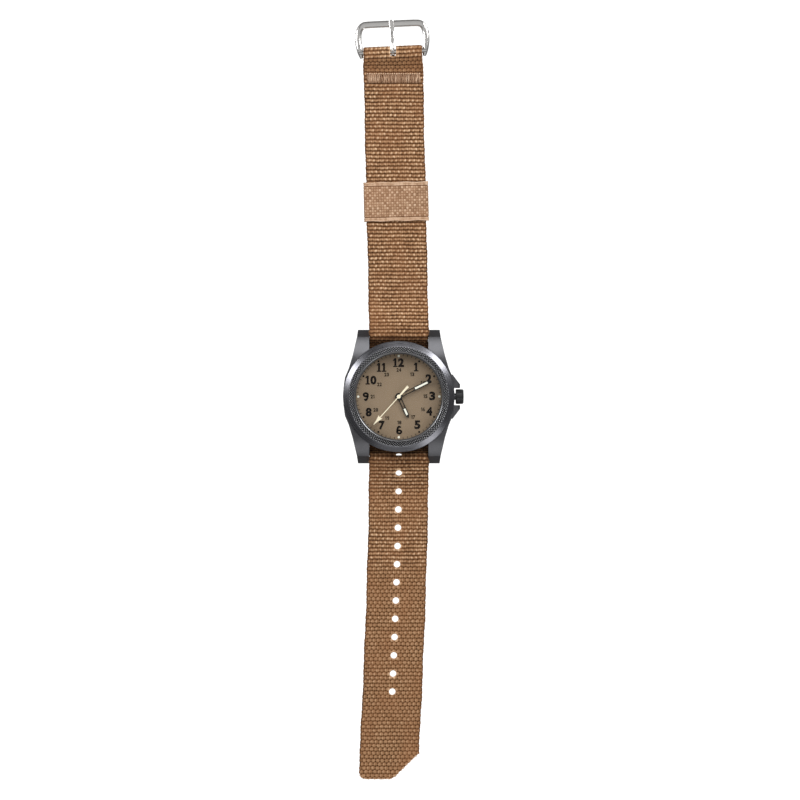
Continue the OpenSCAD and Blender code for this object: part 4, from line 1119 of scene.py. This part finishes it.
# --- materials of the CAD nodes, by record slot
def glass_material():
    s = Shader("crystal_glass", 0.03, 1.0)
    fine = s.noise(900)
    facing = s.node("ShaderNodeLayerWeight").outputs["Facing"]
    # clear from above, and faintly white where it is seen edge on
    s.set("Alpha", s.m("ADD", s.m("MULTIPLY", s.m("POWER", facing, 5.0), 0.3), 0.004, True))
    s.mat.blend_method = "BLEND"
    colour = s.mix(s.span(fine, 0, 0.1), (0.97, 0.98, 1.0), (0.9, 0.93, 0.95))
    return s.finished(colour, s.span(fine, 0.02, 0.045), None)


def dial_material():
    s = Shader("dial_khaki", 0.62)
    sand = s.noise(9000, 3, 0.7)
    cloud = s.noise(220, 3, 0.5)
    radius = s.node("ShaderNodeSeparateXYZ", {0: s.polar()}).outputs[0]
    c = s.tint((0.245, 0.176, 0.108), sand, 0.5, 0.3, 0.7, (0.165, 0.118, 0.070))
    c = s.tint(c, cloud, 0.3, 0.4, 0.75, (0.27, 0.195, 0.122))
    # painted shade: the dial darkens towards its edge, under the flange
    c = s.tint(c, radius, 0.55, 0.0150, 0.0166, (0.12, 0.09, 0.055))
    return s.finished(c, s.span(sand, 0.5, 0.72, 0.3, 0.7), s.bump(sand, 0.25, 0.00002))


def coil_material():
    s = Shader("coil_enamel", 0.28, 0.6)
    turns = {"Vector": s.coords(), "Scale": 4500.0, "Distortion": 0.3}
    wind = s.node("ShaderNodeTexWave", turns, bands_direction="X").outputs[1]
    fine = s.noise(4000)
    c = s.mix(wind, (0.18, 0.05, 0.015), (0.62, 0.25, 0.09))
    return s.finished(s.mix(s.span(fine, 0, 0.25), c, (0.4, 0.14, 0.05)), None, s.bump(wind, 0.6, 0.00005))


def board_material():
    s = Shader("board_green", 0.35)
    fine = s.noise(2500)
    cells = {"Vector": s.coords(), "Scale": 900.0}
    cell = s.node("ShaderNodeTexVoronoi", cells, feature="DISTANCE_TO_EDGE").outputs[0]
    track = s.span(cell, 1, 0, 0.05, 0.09)
    c = s.mix(s.span(fine, 0, 0.4), (0.02, 0.12, 0.05), (0.035, 0.17, 0.075))
    return s.finished(s.mix(track, c, (0.06, 0.26, 0.11)), None, s.bump(track, 0.2, 0.00003))


looks = {
    "case_steel": brushed("case_brushed", (0.105, 0.105, 0.112), 0.34, (1, 0.035, 1), edge=0.00018),
    "crystal": glass_material(),
    "gasket": plain("gasket_rubber", (0.05, 0.05, 0.052), 0.35),
    "flange": plain("flange_khaki", (0.13, 0.098, 0.062), 0.6),
    "dial": dial_material(),
    "lume": plain("lume_paint", (0.86, 0.86, 0.74), 0.6, grain=0.08, scale=5000),
    "hand_black": plain("hand_black_paint", (0.009, 0.008, 0.007), 0.45, scale=6000, Specular_IOR_Level=0.2),
    "hand_cream": plain("hand_cream_paint", (0.86, 0.78, 0.58), 0.45, grain=0.08, scale=6000),
    "wheel_brass": brushed("wheel_brass", (0.72, 0.50, 0.20), 0.26, (1, 0.05, 1), polar=True),
    "white_acetal": plain("acetal_white", (0.76, 0.74, 0.69), 0.42),
    "magnet": plain("magnet_sintered", (0.11, 0.11, 0.12), 0.45, 0.8),
    "soft_iron": brushed("stator_iron", (0.42, 0.42, 0.45), 0.35, (1, 0.1, 1)),
    "coil_wire": coil_material(),
    "board": board_material(),
    "cell": brushed("cell_nickel", (0.62, 0.62, 0.64), 0.2, (1, 0.08, 1), edge=0.0001),
    "movement_nickel": brushed("movement_nickel", (0.58, 0.58, 0.60), 0.3, (1, 0.04, 1)),
    "screw_steel": brushed("screw_blued", (0.12, 0.16, 0.32), 0.25, (1, 0.3, 1)),
    "bright_steel": brushed("turned_steel", (0.58, 0.58, 0.60), 0.24, (0.04, 1, 1)),
    "crown_black": plain("crown_black_coat", (0.010, 0.010, 0.011), 0.32, 0.25, scale=3000),
    "back_steel": brushed("back_brushed", (0.42, 0.42, 0.44), 0.3, (1, 0.03, 1), polar=True, edge=0.0001),
    "buckle_steel": steel_mat,
}
for part in frame["record"]["subparts"]:
    look = looks.get(part["material_slot"])
    if look:
        mesh = frame["nodes"][part["node"]].data
        mesh.materials.clear()
        mesh.materials.append(look)


# --- floor
# low enough that the strap is in view when both its sides are curled
FLOOR_Z = -0.09
bpy.ops.mesh.primitive_plane_add(size=3.0, location=(0, 0, FLOOR_Z))
floor = bpy.context.object
floor.name = "floor"
floor.visible_glossy = False
floor.visible_diffuse = False
paper = plain("floor_paper", (0.9, 0.9, 0.9), 0.9, bump=0.0)
# one-sided, so that the case back can be looked at from below
ft = Nodes(paper.node_tree)
back = ft.node("ShaderNodeNewGeometry").outputs["Backfacing"]
front = ft.nt.nodes["Principled BSDF"].outputs[0]
clear = ft.node("ShaderNodeBsdfTransparent").outputs[0]
one_sided = ft.node("ShaderNodeMixShader", {0: back, 1: front, 2: clear}).outputs[0]
ft.feed(ft.nt.nodes["Material Output"].inputs[0], one_sided)
floor.data.materials.append(paper)
# a lamp for the floor alone, which nothing shades
wash = bpy.data.lights.new("floor_wash", "SUN")
wash.energy = 3.8
wash.angle = 0.5
wash_obj = bpy.data.objects.new("floor_wash", wash)
scene.collection.objects.link(wash_obj)
wash_obj.light_linking.blocker_collection = link_light(wash_obj, [floor], "INCLUDE")
# the polished buckle and the crystal would mirror the lamps and burn out
crystal = frame["nodes"]["crystal"]
polished = [wire, prong, frame["nodes"]["buckle_bar"]]
link_light(key_top, polished + [floor, crystal], "EXCLUDE")
link_light(fill, polished + [floor], "EXCLUDE")
for strip in strips:
    link_light(strip, [floor, crystal], "EXCLUDE")
